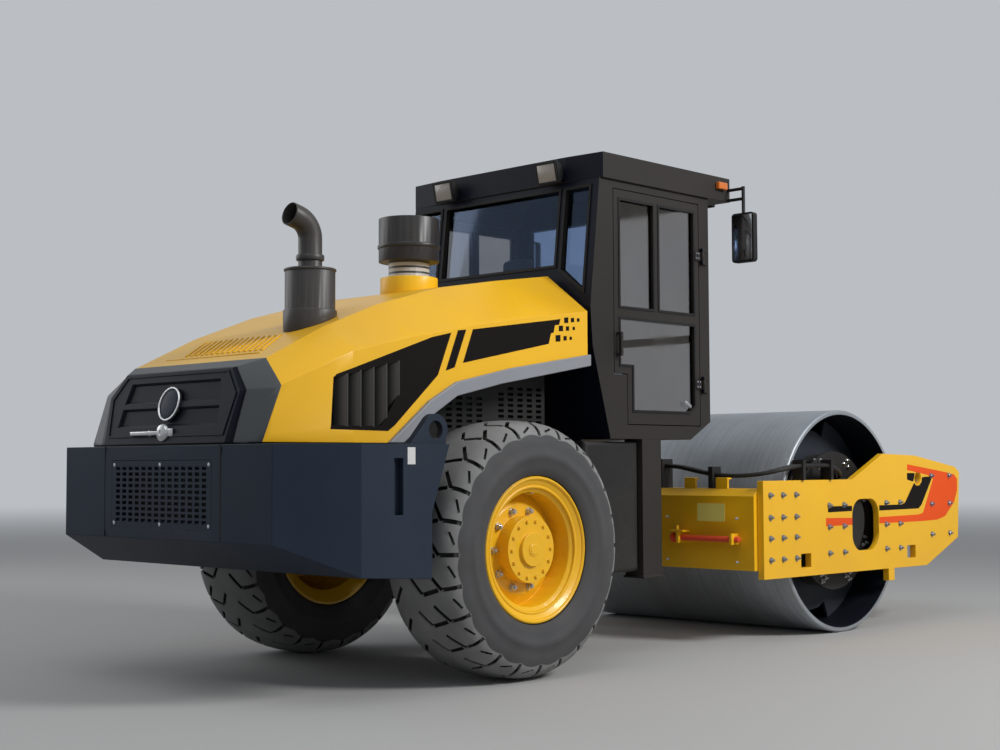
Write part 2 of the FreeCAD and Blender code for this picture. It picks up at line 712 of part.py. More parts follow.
def cab_shell():
    """Cab walls with door openings and windows cut through, and the lugs of its hinges."""
    outer = prism_y(cab_outline(0.0), -cab_half_width, cab_half_width)
    inner_view = cab_outline(cab_wall)
    inner_view = [(x, z + 200.0) if z == cab_top_z else (x, z - 200.0) if z == cab_floor_z else (x, z)
                  for x, z in inner_view]
    inner = prism_y(inner_view, -cab_half_width + cab_wall, cab_half_width - cab_wall)
    doors = [prism_y(grown(door_outline, door_gap, cab_mid_x + 20.0, cab_waist_z), y, y + 200.0)
             for y in (-cab_half_width - 70.0, cab_half_width - 130.0)]
    panes = [prism_x(points, cab_rear_x - 130.0, cab_rear_x + 220.0) for points in rear_windows()]
    for low_z, high_z in front_windows:
        panes.append(box(cab_front_x - 115.0, cab_front_x + 35.0, -front_window_half,
                         front_window_half, low_z, high_z))
    walls = outer.cut(Part.makeCompound([inner] + doors + panes))
    lugs = []
    bores = []
    lug_height = hinge_half - knuckle_half - 1.0
    for side in (-1.0, 1.0):
        y0, y1 = sorted((side * (cab_half_width - 5.0), side * (door_hinge_y - hinge_pin_radius)))
        for z in door_hinge_z:
            for z0 in (z - hinge_half, z + knuckle_half + 1.0):
                lugs.append(Part.makeCylinder(hinge_radius, lug_height,
                                              V(door_hinge_x, side * door_hinge_y, z0)))
                lugs.append(box(door_hinge_x, door_hinge_x + 60.0, y0, y1, z0, z0 + lug_height))
            bores.append(Part.makeCylinder(hinge_pin_radius + running_gap, 2.0 * hinge_half + 2.0,
                                           V(door_hinge_x, side * door_hinge_y, z - hinge_half - 1.0)))
    wall_x = cab_rear_x + 40.0
    for y in (-hood_hinge_y, hood_hinge_y):
        for y0 in (y - 45.0, y + 21.0):
            lugs.append(rod(hinge_radius, (hood_hinge_x, y0, hood_hinge_z),
                            (hood_hinge_x, y0 + lug_height, hood_hinge_z)))
            lugs.append(box(hood_hinge_x, wall_x, y0, y0 + lug_height, hood_hinge_z - 12.0,
                            hood_hinge_z + 12.0))
        bores.append(rod(hinge_pin_radius + running_gap, (hood_hinge_x, y - 46.0, hood_hinge_z),
                         (hood_hinge_x, y + 46.0, hood_hinge_z)))
    return fused([walls] + lugs).cut(Part.makeCompound(bores))


def cab_floor():
    inset = cab_wall + seat_gap
    rear_x = cab_rear_x + 185.0 + inset
    front_x_end = cab_front_x - 221.0 - inset * 0.5
    return prism_y([(rear_x, cab_floor_z), (front_x_end, cab_floor_z),
                    (front_x_end + 86.0, cab_floor_z + cab_floor_plate),
                    (rear_x - 14.0, cab_floor_z + cab_floor_plate)],
                   -cab_half_width + inset, cab_half_width - inset)


def cab_roof():
    """Roof tray with chamfered rear corners, a lip around its top and headroom inside."""
    chamfer_y = cab_half_width - 275.0
    rear_x = roof_rear_x + 24.0
    outline = [(roof_rear_x, -chamfer_y), (rear_x, -roof_half_width), (roof_front_x, -roof_half_width),
               (roof_front_x, roof_half_width), (rear_x, roof_half_width), (roof_rear_x, chamfer_y)]
    tray = prism_z(outline, cab_top_z, roof_top_z)
    headroom = box(cab_rear_x + 220.0, cab_front_x - cab_wall, -cab_half_width + cab_wall,
                   cab_half_width - cab_wall, cab_top_z - 1.0, roof_top_z - 60.0)
    pan = box(rear_x + 40.0, roof_front_x - 40.0, -roof_half_width + 40.0, roof_half_width - 40.0,
              roof_top_z - 20.0, roof_top_z + 1.0)
    return tray.cut(Part.makeCompound([headroom, pan]))


def cab_glass():
    """Fixed panes: three at the rear, two at the front."""
    lean = 95.0 / (cab_top_z - cab_waist_z)
    panes = []
    for points in rear_windows():
        wire = Part.makePolygon([V(cab_rear_x + cab_wall / 2.0 + (z - cab_waist_z) * lean, y, z)
                                 for y, z in points + points[:1]])
        panes.append(Part.Face(wire).extrude(V(glass, 0, 0)))
    for low_z, high_z in front_windows:
        panes.append(box(cab_front_x - 34.0, cab_front_x - 34.0 + glass, -front_window_half,
                         front_window_half, low_z, high_z))
    return Part.makeCompound(panes)


def door_panes():
    """Outlines of a door's two upper windows and its lower one."""
    border = 54.0
    mid_x = (door_rear_x + door_front_x) / 2.0 - 16.0
    rail_z = cab_waist_z - 23.0
    rear_x = door_rear_x + border
    front_x_end = door_front_x - border
    upper_z = rail_z + 38.0
    lower_z = rail_z - 37.0
    return [[(rear_x, upper_z), (rear_x, door_top_z - 60.0), (mid_x - 27.0, door_top_z - 60.0),
             (mid_x - 27.0, upper_z)],
            [(mid_x + 27.0, upper_z), (mid_x + 27.0, door_top_z - 60.0),
             (front_x_end, door_top_z - 60.0), (front_x_end, upper_z)],
            [(rear_x, door_notch_z + border), (rear_x, lower_z), (front_x_end, lower_z),
             (front_x_end, door_low_z + 130.0), (front_x_end - 60.0, door_low_z + 85.0),
             (door_notch_x + border, door_low_z + 85.0),
             (door_notch_x + border, door_notch_z + border)]]


def door_frame():
    """Right-hand door leaf with three window openings and its hinge knuckles."""
    outer_y = -cab_half_width
    leaf = prism_y(door_outline, outer_y, outer_y + door_leaf)
    cuts = [prism_y(points, outer_y - 5.0, outer_y + door_leaf + 5.0) for points in door_panes()]
    handle_z = door_notch_z + 110.0
    handle = fused([box(door_rear_x + 20.0, door_rear_x + 40.0, outer_y - 40.0, outer_y - 26.0,
                        handle_z, handle_z + 150.0),
                    box(door_rear_x + 20.0, door_rear_x + 40.0, outer_y - 26.0, outer_y, handle_z,
                        handle_z + 16.0),
                    box(door_rear_x + 20.0, door_rear_x + 40.0, outer_y - 26.0, outer_y,
                        handle_z + 134.0, handle_z + 150.0)])
    leaf = leaf.cut(Part.makeCompound(cuts))
    knuckles = []
    for z in door_hinge_z:
        knuckles.append(box(door_hinge_x - 75.0, door_hinge_x - hinge_radius - 2.0, outer_y - 10.0,
                            outer_y, z - knuckle_half, z + knuckle_half))
        knuckles.append(Part.makeCylinder(hinge_radius, 2.0 * knuckle_half,
                                          V(door_hinge_x, -door_hinge_y, z - knuckle_half)))
        knuckles.append(box(door_hinge_x - 20.0, door_hinge_x, outer_y - 10.0, outer_y - 0.5,
                            z - knuckle_half, z + knuckle_half))
        knuckles.append(Part.makeCylinder(hinge_pin_radius, 2.0 * hinge_half,
                                          V(door_hinge_x, -door_hinge_y, z - hinge_half)))
    return fused([leaf, handle] + knuckles)


def door_glass():
    y = -cab_half_width + door_leaf / 2.0
    return Part.makeCompound([prism_y(points, y - glass / 2.0, y + glass / 2.0)
                              for points in door_panes()])


def cab_seat():
    """Operator's seat on a pedestal, with armrests and a headrest."""
    x = cab_mid_x - seat_setback
    floor_z = cab_floor_z + cab_floor_plate
    seat_z = floor_z + seat_pedestal
    back_z = seat_z + 130.0
    head_z = back_z + seat_back_height
    pedestal = box(x + 70.0, x + 370.0, -170.0, 170.0, floor_z, seat_z)
    cushion = box(x, x + 480.0, -250.0, 250.0, seat_z, back_z)
    back = prism_y([(x, back_z), (x + 110.0, back_z), (x + 50.0, head_z), (x - 40.0, head_z)],
                   -240.0, 240.0)
    head = prism_y([(x - 35.0, head_z), (x + 45.0, head_z), (x + 25.0, head_z + 180.0),
                    (x - 45.0, head_z + 180.0)], -130.0, 130.0)
    arms = [box(x + 70.0, x + 400.0, s * 285.0 - 35.0, s * 285.0 + 35.0, seat_z + 260.0,
                seat_z + 310.0) for s in (-1.0, 1.0)]
    posts = [box(x + 70.0, x + 130.0, s * 285.0 - 35.0, s * 285.0 + 35.0, seat_z + 80.0,
                 seat_z + 260.0) for s in (-1.0, 1.0)]
    return fused([pedestal, cushion, back, head] + arms + posts)


def steering_console():
    """Column with dash box and a round steering wheel."""
    floor_z = cab_floor_z + cab_floor_plate
    front = cab_front_x - 215.0
    column_z = floor_z + column_height
    column = prism_y([(front - 150.0, floor_z), (front, floor_z), (front - 50.0, column_z - 70.0),
                      (front - 170.0, column_z)], -110.0, 110.0)
    wheel = [turned_z([(174.0, -7.0), (181.0, -15.0), (195.0, -15.0), (204.0, -7.0), (204.0, 7.0),
                       (195.0, 15.0), (181.0, 15.0), (174.0, 7.0)], 0.0, 0.0)]
    for angle in (0.0, 120.0, 240.0):
        spoke = box(0.0, 185.0, -14.0, 14.0, -5.0, 5.0)
        spoke.rotate(V(0, 0, 0), V(0, 0, 1), angle)
        wheel.append(spoke)
    wheel.append(Part.makeCylinder(22.0, 176.0, V(0, 0, -168.0)))
    wheel = fused(wheel)
    wheel.rotate(V(0, 0, 0), V(0, 1, 0), -30.0)
    wheel.translate(V(front - 210.0, 0, floor_z + 765.0))
    return fused([column, wheel])


# Work lamps. Columns: x of the roof edge that carries the lamp, its sense along X, y of its
# middle, downward tilt in degrees
lamp_table = [(roof_rear_x, -1.0, cab_half_width - 370.0, 12.0),
              (roof_front_x, 1.0, cab_half_width - 250.0, 8.0)]


def work_lights():
    """Square lamps on short brackets, two on the rear edge of the roof and two on its front."""
    z = cab_top_z + roof_height / 2.0 - 8.0
    lamps = []
    for edge_x, sense, y, tilt in lamp_table:
        case = prism_y([(0.0, -40.0), (38.0, -72.0), (52.0, -72.0), (52.0, 72.0), (38.0, 72.0),
                        (0.0, 40.0)], -92.0, 92.0)
        case.rotate(V(0, 0, 0), V(0, 1, 0), tilt)
        if sense < 0:
            case.rotate(V(0, 0, 0), V(0, 0, 1), 180.0)
        case.translate(V(edge_x + sense * 22.0, y, z))
        foot = box(0.0, 40.0, y - 22.0, y + 22.0, z - 20.0, z + 20.0)
        foot.translate(V(edge_x if sense > 0 else edge_x - 40.0, 0, 0))
        lamps.append(both_sides(fused([case, foot])))
    return Part.makeCompound(lamps)


def beacon_lamps():
    z = roof_top_z - 65.0
    lamp = box(roof_front_x - 165.0, roof_front_x - 65.0, -roof_half_width - 32.0, -roof_half_width,
               z - 25.0, z + 25.0)
    return both_sides(lamp)


def mirrors():
    """Bent tube arms from the roof's front corners, each with a mirror head."""
    x = roof_front_x - 25.0
    y = -roof_half_width
    head_y = y - 130.0
    top_z = roof_top_z - 85.0
    arms = []
    for drop in (0.0, 70.0):
        arms.append(rod(11.0, (x, y, top_z - drop), (x, head_y, top_z - drop)))
    arms.append(rod(12.0, (x, head_y, top_z + 14.0), (x, head_y, roof_top_z - 285.0)))
    head = box(x - 15.0, x + 30.0, head_y - 90.0, head_y + 90.0, roof_top_z - 595.0,
               roof_top_z - 255.0)
    upright = [e for e in head.Edges if abs(e.Vertexes[0].Point.x - e.Vertexes[1].Point.x) > 10.0]
    return both_sides(fused(arms + [head.makeFillet(24.0, upright)]))


def six_points(section, inset, floor_z, shift):
    """Closed six-sided section: flat top, two chamfers, two sides and a bottom at floor_z."""
    x, lean, top_half, top_z, shoulder_half, shoulder_z, bottom_half = section
    right = [(top_half - inset * 0.6, top_z - inset), (shoulder_half - inset, shoulder_z - inset * 0.6),
             (bottom_half - inset, floor_z)]
    points = [(x + shift - lean * (top_z - z), -y, z) for y, z in right]
    return points + [(px, -py, pz) for px, py, pz in reversed(points)]


def hood_body(inset, floor_z):
    return loft([six_points(section, inset, floor_z, 0.0) for section in hood_sections])


# Outline of a side vent: distance from the hood's tail, height above the hood's bottom
vent_outline = [(hood_tail_x + a, hood_bottom_z + b) for a, b in
                ((270.0, 344.0), (256.0, 85.0), (596.0, 85.0), (727.0, 265.0), (727.0, 451.0))]
vent_mid_x = hood_tail_x + 496.0
vent_mid_z = hood_bottom_z + 265.0


def hood_shell():
    """Engine hood: a hollow shell with arches over the wheels, side vents and hinge knuckles."""
    outer = hood_body(0.0, hood_bottom_z)
    inner = hood_body(hood_wall, hood_bottom_z - 80.0)
    arch = prism_y([(arch_lower[0][0], hood_bottom_z - 35.0)] + arch_lower +
                   [(hood_front_x + 100.0, arch_lower[-1][1] + 18.0),
                    (hood_front_x + 100.0, hood_bottom_z - 35.0)], -1000.0 - hood_side_y,
                   1000.0 + hood_side_y)
    vents = prism_y(vent_outline, -1000.0 - hood_side_y, 1000.0 + hood_side_y)
    shell = outer.cut(inner).cut(Part.makeCompound([arch, vents]))
    knuckles = []
    for y in (-hood_hinge_y, hood_hinge_y):
        knuckles.append(rod(hinge_radius, (hood_hinge_x, y - 20.0, hood_hinge_z),
                            (hood_hinge_x, y + 20.0, hood_hinge_z)))
        knuckles.append(rod(hinge_pin_radius, (hood_hinge_x, y - 45.0, hood_hinge_z),
                            (hood_hinge_x, y + 45.0, hood_hinge_z)))
        knuckles.append(box(hood_front_x - 60.0, hood_hinge_x, y - 20.0, y + 20.0,
                            hood_hinge_z - 22.0, hood_hinge_z - 6.0))
    return fused([shell] + knuckles)


def hood_louvres():
    """Five upright slats in each side vent, held by a frame inside the hood's wall."""
    wall_y = -hood_side_y + hood_wall
    opening = prism_y(vent_outline, -hood_side_y - 20.0, wall_y + 20.0)
    frame = prism_y(grown(vent_outline, 16.0, vent_mid_x, vent_mid_z), wall_y + seat_gap,
                    wall_y + 10.0)
    frame = frame.cut(prism_y(grown(vent_outline, -8.0, vent_mid_x, vent_mid_z), -hood_side_y,
                              wall_y + 20.0))
    slats = []
    for i in range(5):
        x = hood_tail_x + 291.0 + i * 92.0
        slats.append(prism_z([(x, wall_y + 8.0), (x + 62.0, -hood_side_y - 2.0),
                              (x + 70.0, -hood_side_y - 2.0), (x + 8.0, wall_y + 8.0)],
                             hood_bottom_z + 65.0, hood_bottom_z + 465.0))
    frame = frame.common(hood_body(hood_wall + seat_gap, hood_bottom_z))
    return both_sides(fused([frame, fused(slats).common(opening)]))


def cap_face_x(z):
    """x of the cap's leaning rear face at a height."""
    return cap_rear_section[0] - cap_lean * (cap_rear_section[3] - z)


# Recessed bands of the cap's rear face. Columns: height above the hood's bottom of the lower and
# upper edge, half width at each
cap_bands = [(222.0, 338.0, 452.0, 420.0), (92.0, 196.0, 470.0, 456.0)]


def hood_cap():
    """Dark tail cap of the hood: chamfered surround, and a rear face with two recessed bands."""
    tail = hood_sections[0]
    outer = loft([six_points(tail, 0.0, hood_bottom_z, -seat_gap),
                  six_points(cap_rear_section, 0.0, hood_bottom_z, 0.0)])
    inner = loft([six_points(tail, cap_wall, hood_bottom_z - 30.0, 1.0),
                  six_points(cap_rear_section, cap_wall, hood_bottom_z - 30.0, cap_wall)])
    recesses = []
    for low, high, low_half, high_half in cap_bands:
        rings = []
        for depth, inset in ((-4.0, -4.0), (14.0, 14.0)):
            z0 = hood_bottom_z + low + inset
            z1 = hood_bottom_z + high - inset
            rings.append([(cap_face_x(z0) + depth, -low_half + inset, z0),
                          (cap_face_x(z0) + depth, low_half - inset, z0),
                          (cap_face_x(z1) + depth, high_half - inset, z1),
                          (cap_face_x(z1) + depth, -high_half + inset, z1)])
        recesses.append(loft(rings))
    return outer.cut(inner).cut(Part.makeCompound(recesses))


def arch_trims():
    """Raised bands that follow the hood's arches."""
    band = prism_y(arch_upper + list(reversed(arch_lower)), -hood_side_y - arch_band, -hood_side_y)
    return both_sides(band)


def exhaust_stack():
    """Silencer can on the hood with a bent tail pipe that opens to the rear."""
    x = hood_tail_x + stack_setback
    y = -stack_side
    top_z = hood_top_at(x)
    base = Part.makeCylinder(150.0, 150.0, V(x, y, top_z - 80.0)).cut(hood_body(0.0, hood_bottom_z))
    can = Part.makeCylinder(stack_can_radius, stack_can_height, V(x, y, top_z + 60.0))
    pipe_z = top_z + 290.0
    bend_z = top_z + 470.0
    bend_radius = 120.0
    turn = math.radians(75.0)
    start = V(x, y, bend_z)

    def on_bend(angle):
        return V(x - bend_radius * (1.0 - math.cos(angle)), y, bend_z + bend_radius * math.sin(angle))

    end = on_bend(turn)
    mouth = end.add(V(-math.sin(turn), 0, math.cos(turn)).multiply(60.0))
    path = Part.Wire([Part.LineSegment(V(x, y, pipe_z), start).toShape(),
                      Part.Arc(start, on_bend(turn / 2.0), end).toShape(),
                      Part.LineSegment(end, mouth).toShape()])
    outer = path.makePipeShell([Part.Wire(Part.makeCircle(67.0, V(x, y, pipe_z), V(0, 0, 1)))],
                               True, False)
    inner = path.makePipeShell([Part.Wire(Part.makeCircle(61.0, V(x, y, pipe_z), V(0, 0, 1)))],
                               True, False)
    return fused([base.fuse(can), outer]).cut(inner)


def pre_cleaner():
    """Air pre-cleaner bowl on a neck and a boss, on the hood's centre line."""
    x = 80.0
    top_z = hood_top_at(x)
    profile = [(0.0, -52.0), (180.0, -52.0), (180.0, 78.0), (128.0, 78.0), (128.0, 178.0),
               (190.0, 178.0), (190.0, 262.0), (197.0, 262.0), (197.0, 284.0), (190.0, 284.0),
               (190.0, 450.0), (0.0, 450.0)]
    bowl = turned_z([(r, top_z + up) for r, up in profile], x, 0.0)
    return bowl.cut(hood_body(0.0, hood_bottom_z))


def hood_latch():
    """Round lock with a bar handle to one side, on the cap's rear face."""
    z = hood_bottom_z + 57.0
    face_x = cap_face_x(z)
    end_x = -rear_overhang
    grip = box(end_x + 3.0, end_x + 17.0, 0.0, 138.0, z - 8.0, z + 8.0)
    lock = rod(26.0, (face_x + 19.0, 0.0, z), (end_x, 0.0, z))
    foot = box(end_x + 7.0, face_x + 19.0, 110.0, 130.0, z - 12.0, z + 12.0)
    tail = hood_sections[0]
    cap = loft([six_points(tail, 0.0, hood_bottom_z, 0.0),
                six_points(cap_rear_section, 0.0, hood_bottom_z, 0.0)])
    return fused([grip, lock, foot]).cut(cap)


def articulation_yoke():
    """Centre-joint casting: upright steering pin, trunnion along X and two steering arms."""
    height = 2.0 * ear_below_joint
    body = Part.makeCylinder(2.0 * steer_pin_radius, height - 2.0, V(steer_x, 0, ear_gap_low_z + 1.0))
    pin = Part.makeCylinder(steer_pin_radius, height + 2.0 * ear_plate,
                            V(steer_x, 0, ear_gap_low_z - ear_plate))
    flange_x = beam_rear_x - 130.0
    neck = rod(trunnion_radius + 25.0, (steer_x, 0, joint_z), (flange_x, 0, joint_z))
    flange = rod(trunnion_radius + 65.0, (flange_x - 40.0, 0, joint_z), (flange_x, 0, joint_z))
    trunnion = rod(trunnion_radius, (flange_x, 0, joint_z), (beam_rear_x + 120.0, 0, joint_z))
    arms = []
    for s in (-1.0, 1.0):
        for z in (joint_z - eye_height / 2.0 - arm_plate - 3.0, joint_z + eye_height / 2.0 + 3.0):
            arms.append(prism_z([(steer_x - 60.0, s * 60.0), (steer_x + 190.0, s * 60.0),
                                 (steer_x + arm_forward + 60.0, s * (arm_side + 40.0)),
                                 (steer_x + arm_forward - 60.0, s * (arm_side + 60.0))],
                                z, z + arm_plate))
    return fused([body, pin, neck, flange, trunnion] + arms)


def cylinder_axis(side):
    """Rear pin, front eye, their distance and unit direction, of one steering cylinder."""
    pin = V(barrel_pin_x, side * barrel_pin_y, joint_z)
    eye = V(steer_x + arm_forward, side * arm_side, joint_z)
    way = eye.sub(pin)
    length = way.Length
    way.normalize()
    return pin, eye, length, way


barrel_start = 38.0


def steering_barrel(side):
    pin, eye, length, way = cylinder_axis(side)
    start = pin.add(V(way).multiply(barrel_start))
    tube = Part.makeCylinder(barrel_radius, barrel_length, start, way)
    bore = Part.makeCylinder(rod_radius + running_gap, barrel_length - 40.0,
                             start.add(V(way).multiply(60.0)), way)
    eye_boss = Part.makeCylinder(barrel_radius, 70.0, V(pin.x, pin.y, joint_z - 35.0))
    cross_pin = Part.makeCylinder(barrel_pin_radius, 124.0, V(pin.x, pin.y, joint_z - 62.0))
    return fused([tube, eye_boss, cross_pin]).cut(bore)


def steering_rod(side):
    pin, eye, length, way = cylinder_axis(side)
    start = pin.add(V(way).multiply(barrel_start + barrel_length - rod_engagement))
    shaft = Part.makeCylinder(rod_radius, eye.sub(start).Length - 40.0, start, way)
    eye_boss = Part.makeCylinder(eye_radius, eye_height, V(eye.x, eye.y, joint_z - eye_height / 2.0))
    return fused([shaft, eye_boss])


def drum_shell():
    """Smooth rolled shell with a bevelled rim."""
    y = drum_half_width
    inner = drum_radius - drum_wall
    return turned_y([(inner, -y), (drum_radius - drum_bevel, -y), (drum_radius, -y + drum_bevel),
                     (drum_radius, y - drum_bevel), (drum_radius - drum_bevel, y), (inner, y)],
                    drum_x, drum_z)


drum_bore = trunnion_radius + 5.0


def disc_window(middle_angle):
    """Opening at an end disc's edge, arched on its inner side."""
    inner = drum_radius - drum_wall - disc_window_depth
    outer = drum_radius * 1.1
    rounds = [(-18.0, outer), (-16.0, inner), (-9.0, inner + 22.0), (0.0, inner + 28.0),
              (9.0, inner + 22.0), (16.0, inner), (18.0, outer)]
    corners = []
    for angle, radius in rounds:
        turn = math.radians(middle_angle + angle)
        corners.append((drum_x + radius * math.cos(turn), drum_z + radius * math.sin(turn)))
    return prism_y(corners, -drum_half_width, 0.0)


def drum_end_discs():
    """Deep end discs with hub rings and four openings beside the shell."""
    r = drum_radius - drum_wall
    inner = drum_half_width - drum_recess
    ring = hub_ring_radius
    disc = turned_y([(drum_bore + running_gap, -inner - 60.0), (ring - 10.0, -inner - 60.0),
                     (ring - 10.0, -inner), (r, -inner), (r, -inner + drum_disc),
                     (ring - 10.0, -inner + drum_disc), (ring - 10.0, -inner + 120.0),
                     (drum_bore + running_gap, -inner + 120.0)], drum_x, drum_z)
    windows = [disc_window(90.0 * i) for i in range(4)]
    return both_sides(disc.cut(Part.makeCompound(windows)))


def drum_mounts():
    """Boss and carrier disc inside each side plate, with a ring of buffers and the stub shaft."""
    inner = drum_half_width - drum_recess
    boss_radius = hub_ring_radius + 20.0
    ring_radius = carrier_radius - buffer_radius - 30.0
    near_y = -plate_inner_y + 100.0
    far_y = -inner - 90.0
    boss = rod(boss_radius, (drum_x, -plate_inner_y, drum_z), (drum_x, near_y + 1.0, drum_z))
    carrier = rod(carrier_radius, (drum_x, near_y, drum_z), (drum_x, near_y + carrier_plate, drum_z))
    buffers = []
    for i in range(8):
        angle = math.radians(45.0 * i + 22.5)
        x = drum_x + ring_radius * math.cos(angle)
        z = drum_z + ring_radius * math.sin(angle)
        buffers.append(rod(buffer_radius, (x, near_y + carrier_plate - 1.0, z), (x, far_y, z)))
    plate = rod(carrier_radius - 20.0, (drum_x, far_y, drum_z),
                (drum_x, far_y + carrier_plate, drum_z))
    shaft = rod(drum_bore, (drum_x, far_y + 24.0, drum_z), (drum_x, -inner + 110.0, drum_z))
    return both_sides(fused([boss, carrier, plate, shaft] + buffers))


# Outline of a side plate of the front frame: x and z of its corners
plate_outline = [(beam_rear_x + 40.0, drum_z - 363.0), (front_beam_rear_x - 123.0, drum_z - 372.0),
                 (front_x - 41.0, drum_z - 176.0), (front_x, drum_z + 340.0),
                 (front_x - 67.0, drum_z + 383.0), (front_beam_rear_x - 290.0, drum_z + 472.0),
                 (drum_x + 445.0, drum_z + 484.0), (drum_x + 9.0, drum_z + 298.0),
                 (beam_rear_x + 40.0, drum_z + 298.0)]
plate_top_z = drum_z + 298.0
tie_hole_x = front_beam_rear_x - 243.0
tie_hole_z = drum_z + 295.0


def side_plate_right():
    """Side plate with its oblong window, two slots, the tie-down hole and a lug below."""
    outer_y = -plate_outer_y
    inner_y = -plate_inner_y
    plate = prism_y(plate_outline, outer_y, inner_y)
    oblong = box(drum_x, drum_x + 370.0, outer_y - 1.0, inner_y + 1.0, drum_z - 220.0, drum_z + 153.0)
    oblong = oblong.makeFillet(120.0, [e for e in oblong.Edges
                                       if abs(e.Vertexes[0].Point.y - e.Vertexes[1].Point.y) > 10.0])
    slots = [box(x, x + 125.0, outer_y - 1.0, inner_y + 1.0, drum_z - 305.0, drum_z - 210.0)
             for x in (beam_front_x + 268.0, front_beam_rear_x - 423.0)]
    hole = rod(tie_hole_radius, (tie_hole_x, outer_y - 1.0, tie_hole_z),
               (tie_hole_x, inner_y + 1.0, tie_hole_z))
    lug = box(drum_x + 499.0, drum_x + 583.0, outer_y, inner_y, drum_z - 459.0, drum_z - 364.0)
    return fused([plate, lug]).cut(Part.makeCompound([oblong, hole] + slots))


def rear_cross_beam():
    """Box beam behind the drum with the bearing of the oscillation trunnion."""
    y = plate_inner_y
    chamfer = 50.0
    beam = prism_y([(beam_rear_x, beam_low_z), (beam_front_x, beam_low_z), (beam_front_x, beam_top_z),
                    (beam_rear_x + chamfer, beam_top_z), (beam_rear_x, beam_top_z - chamfer)], -y, y)
    housing = rod(trunnion_radius + 65.0, (beam_rear_x - 120.0, 0, joint_z), (beam_front_x, 0, joint_z))
    bore = rod(trunnion_radius + running_gap, (beam_rear_x - 130.0, 0, joint_z),
               (beam_rear_x + 130.0, 0, joint_z))
    return fused([beam, housing]).cut(bore)


def front_cross_beam():
    y = plate_inner_y
    return prism_y([(front_beam_rear_x, drum_z - 160.0), (front_beam_front_x, drum_z - 160.0),
                    (front_beam_front_x + 40.0, drum_z + 100.0), (front_beam_front_x, drum_z + 320.0),
                    (front_beam_rear_x, drum_z + 320.0)], -y, y)


def drum_scrapers():
    """Blades held just off the drum, in front and behind, each on three arms from its beam."""
    blades = []
    half = drum_half_width - 20.0
    for beam_x, sign in ((beam_front_x, 1.0), (front_beam_rear_x, -1.0)):
        tip = drum_x - sign * (drum_radius + scraper_gap)
        back = tip - sign * 60.0
        blade = box(min(back, tip), max(back, tip), -half, half, drum_z - scraper_plate / 2.0,
                    drum_z + scraper_plate / 2.0)
        arms = [box(min(beam_x, back), max(beam_x, back), y - 40.0, y + 40.0,
                    drum_z - scraper_plate, drum_z + scraper_plate) for y in (-700.0, 0.0, 700.0)]
        blades.append(fused([blade] + arms))
    return Part.makeCompound(blades)


def lock_bar():
    """Bar that locks the centre joint for transport, stowed on the rear beam."""
    x = beam_rear_x - 45.0
    z = joint_z - 30.0
    near_y = -plate_inner_y + 640.0
    far_y = -plate_inner_y + 90.0
    return fused([rod(20.0, (x, near_y, z), (x, far_y, z)),
                  rod(34.0, (x, near_y - 12.0, z), (x, near_y + 12.0, z))])


def lock_bar_brackets():
    """Yellow ears that hold the stowed bar, and the pin that keeps it there."""
    x = beam_rear_x - 45.0
    z = joint_z - 30.0
    clear = rod(20.0 + seat_gap, (x, -plate_inner_y + 700.0, z), (x, -plate_inner_y, z))
    ears = [box(beam_rear_x - 90.0, beam_rear_x, y - 10.0, y + 10.0, z - 35.0, z + 40.0)
            for y in (-plate_inner_y + 580.0, -plate_inner_y + 130.0)]
    shelf = box(beam_rear_x - 90.0, beam_rear_x, -plate_inner_y + 530.0, -plate_inner_y + 650.0,
                z + 40.0, z + 54.0)
    pin = rod(12.0, (x, -plate_inner_y + 610.0, z + 54.0), (x, -plate_inner_y + 610.0, z + 84.0))
    return fused([ears[0].cut(clear), shelf, pin]).fuse(ears[1].cut(clear))


# Middle line of the two hoses from the manifold on the rear beam over the side plate to the
# drum's drive: x from the beam's middle, y from the side plate's outer face, z above the beam
beam_mid_x = (beam_rear_x + beam_front_x) / 2.0
hose_route = [(beam_mid_x + a, -plate_outer_y + b, beam_top_z + c) for a, b, c in
              ((0.0, 890.0, 160.0), (0.0, 730.0, 148.0), (2.0, 580.0, 116.0), (8.0, 430.0, 92.0),
               (30.0, 280.0, 84.0), (90.0, 140.0, 96.0), (190.0, 54.0, 122.0), (310.0, 26.0, 146.0),
               (440.0, 25.0, 155.0), (570.0, 24.0, 152.0), (700.0, 25.0, 156.0),
               (820.0, 27.0, 142.0), (920.0, 48.0, 112.0), (985.0, 82.0, 84.0),
               (1010.0, 98.0, 40.0))]


def hose_line(offset):
    """The hoses' middle line moved sideways in plan, for one hose of the pair."""
    line = []
    for i, (x, y, z) in enumerate(hose_route):
        x0, y0, _ = hose_route[max(i - 1, 0)]
        x1, y1, _ = hose_route[min(i + 1, len(hose_route) - 1)]
        run = math.hypot(x1 - x0, y1 - y0)
        line.append((x - offset * (y1 - y0) / run, y + offset * (x1 - x0) / run, z))
    return line


hose_offsets = (-hose_spacing / 2.0, hose_spacing / 2.0)


def drive_hoses():
    return Part.makeCompound([tube_along(hose_line(offset), hose_radius) for offset in hose_offsets])


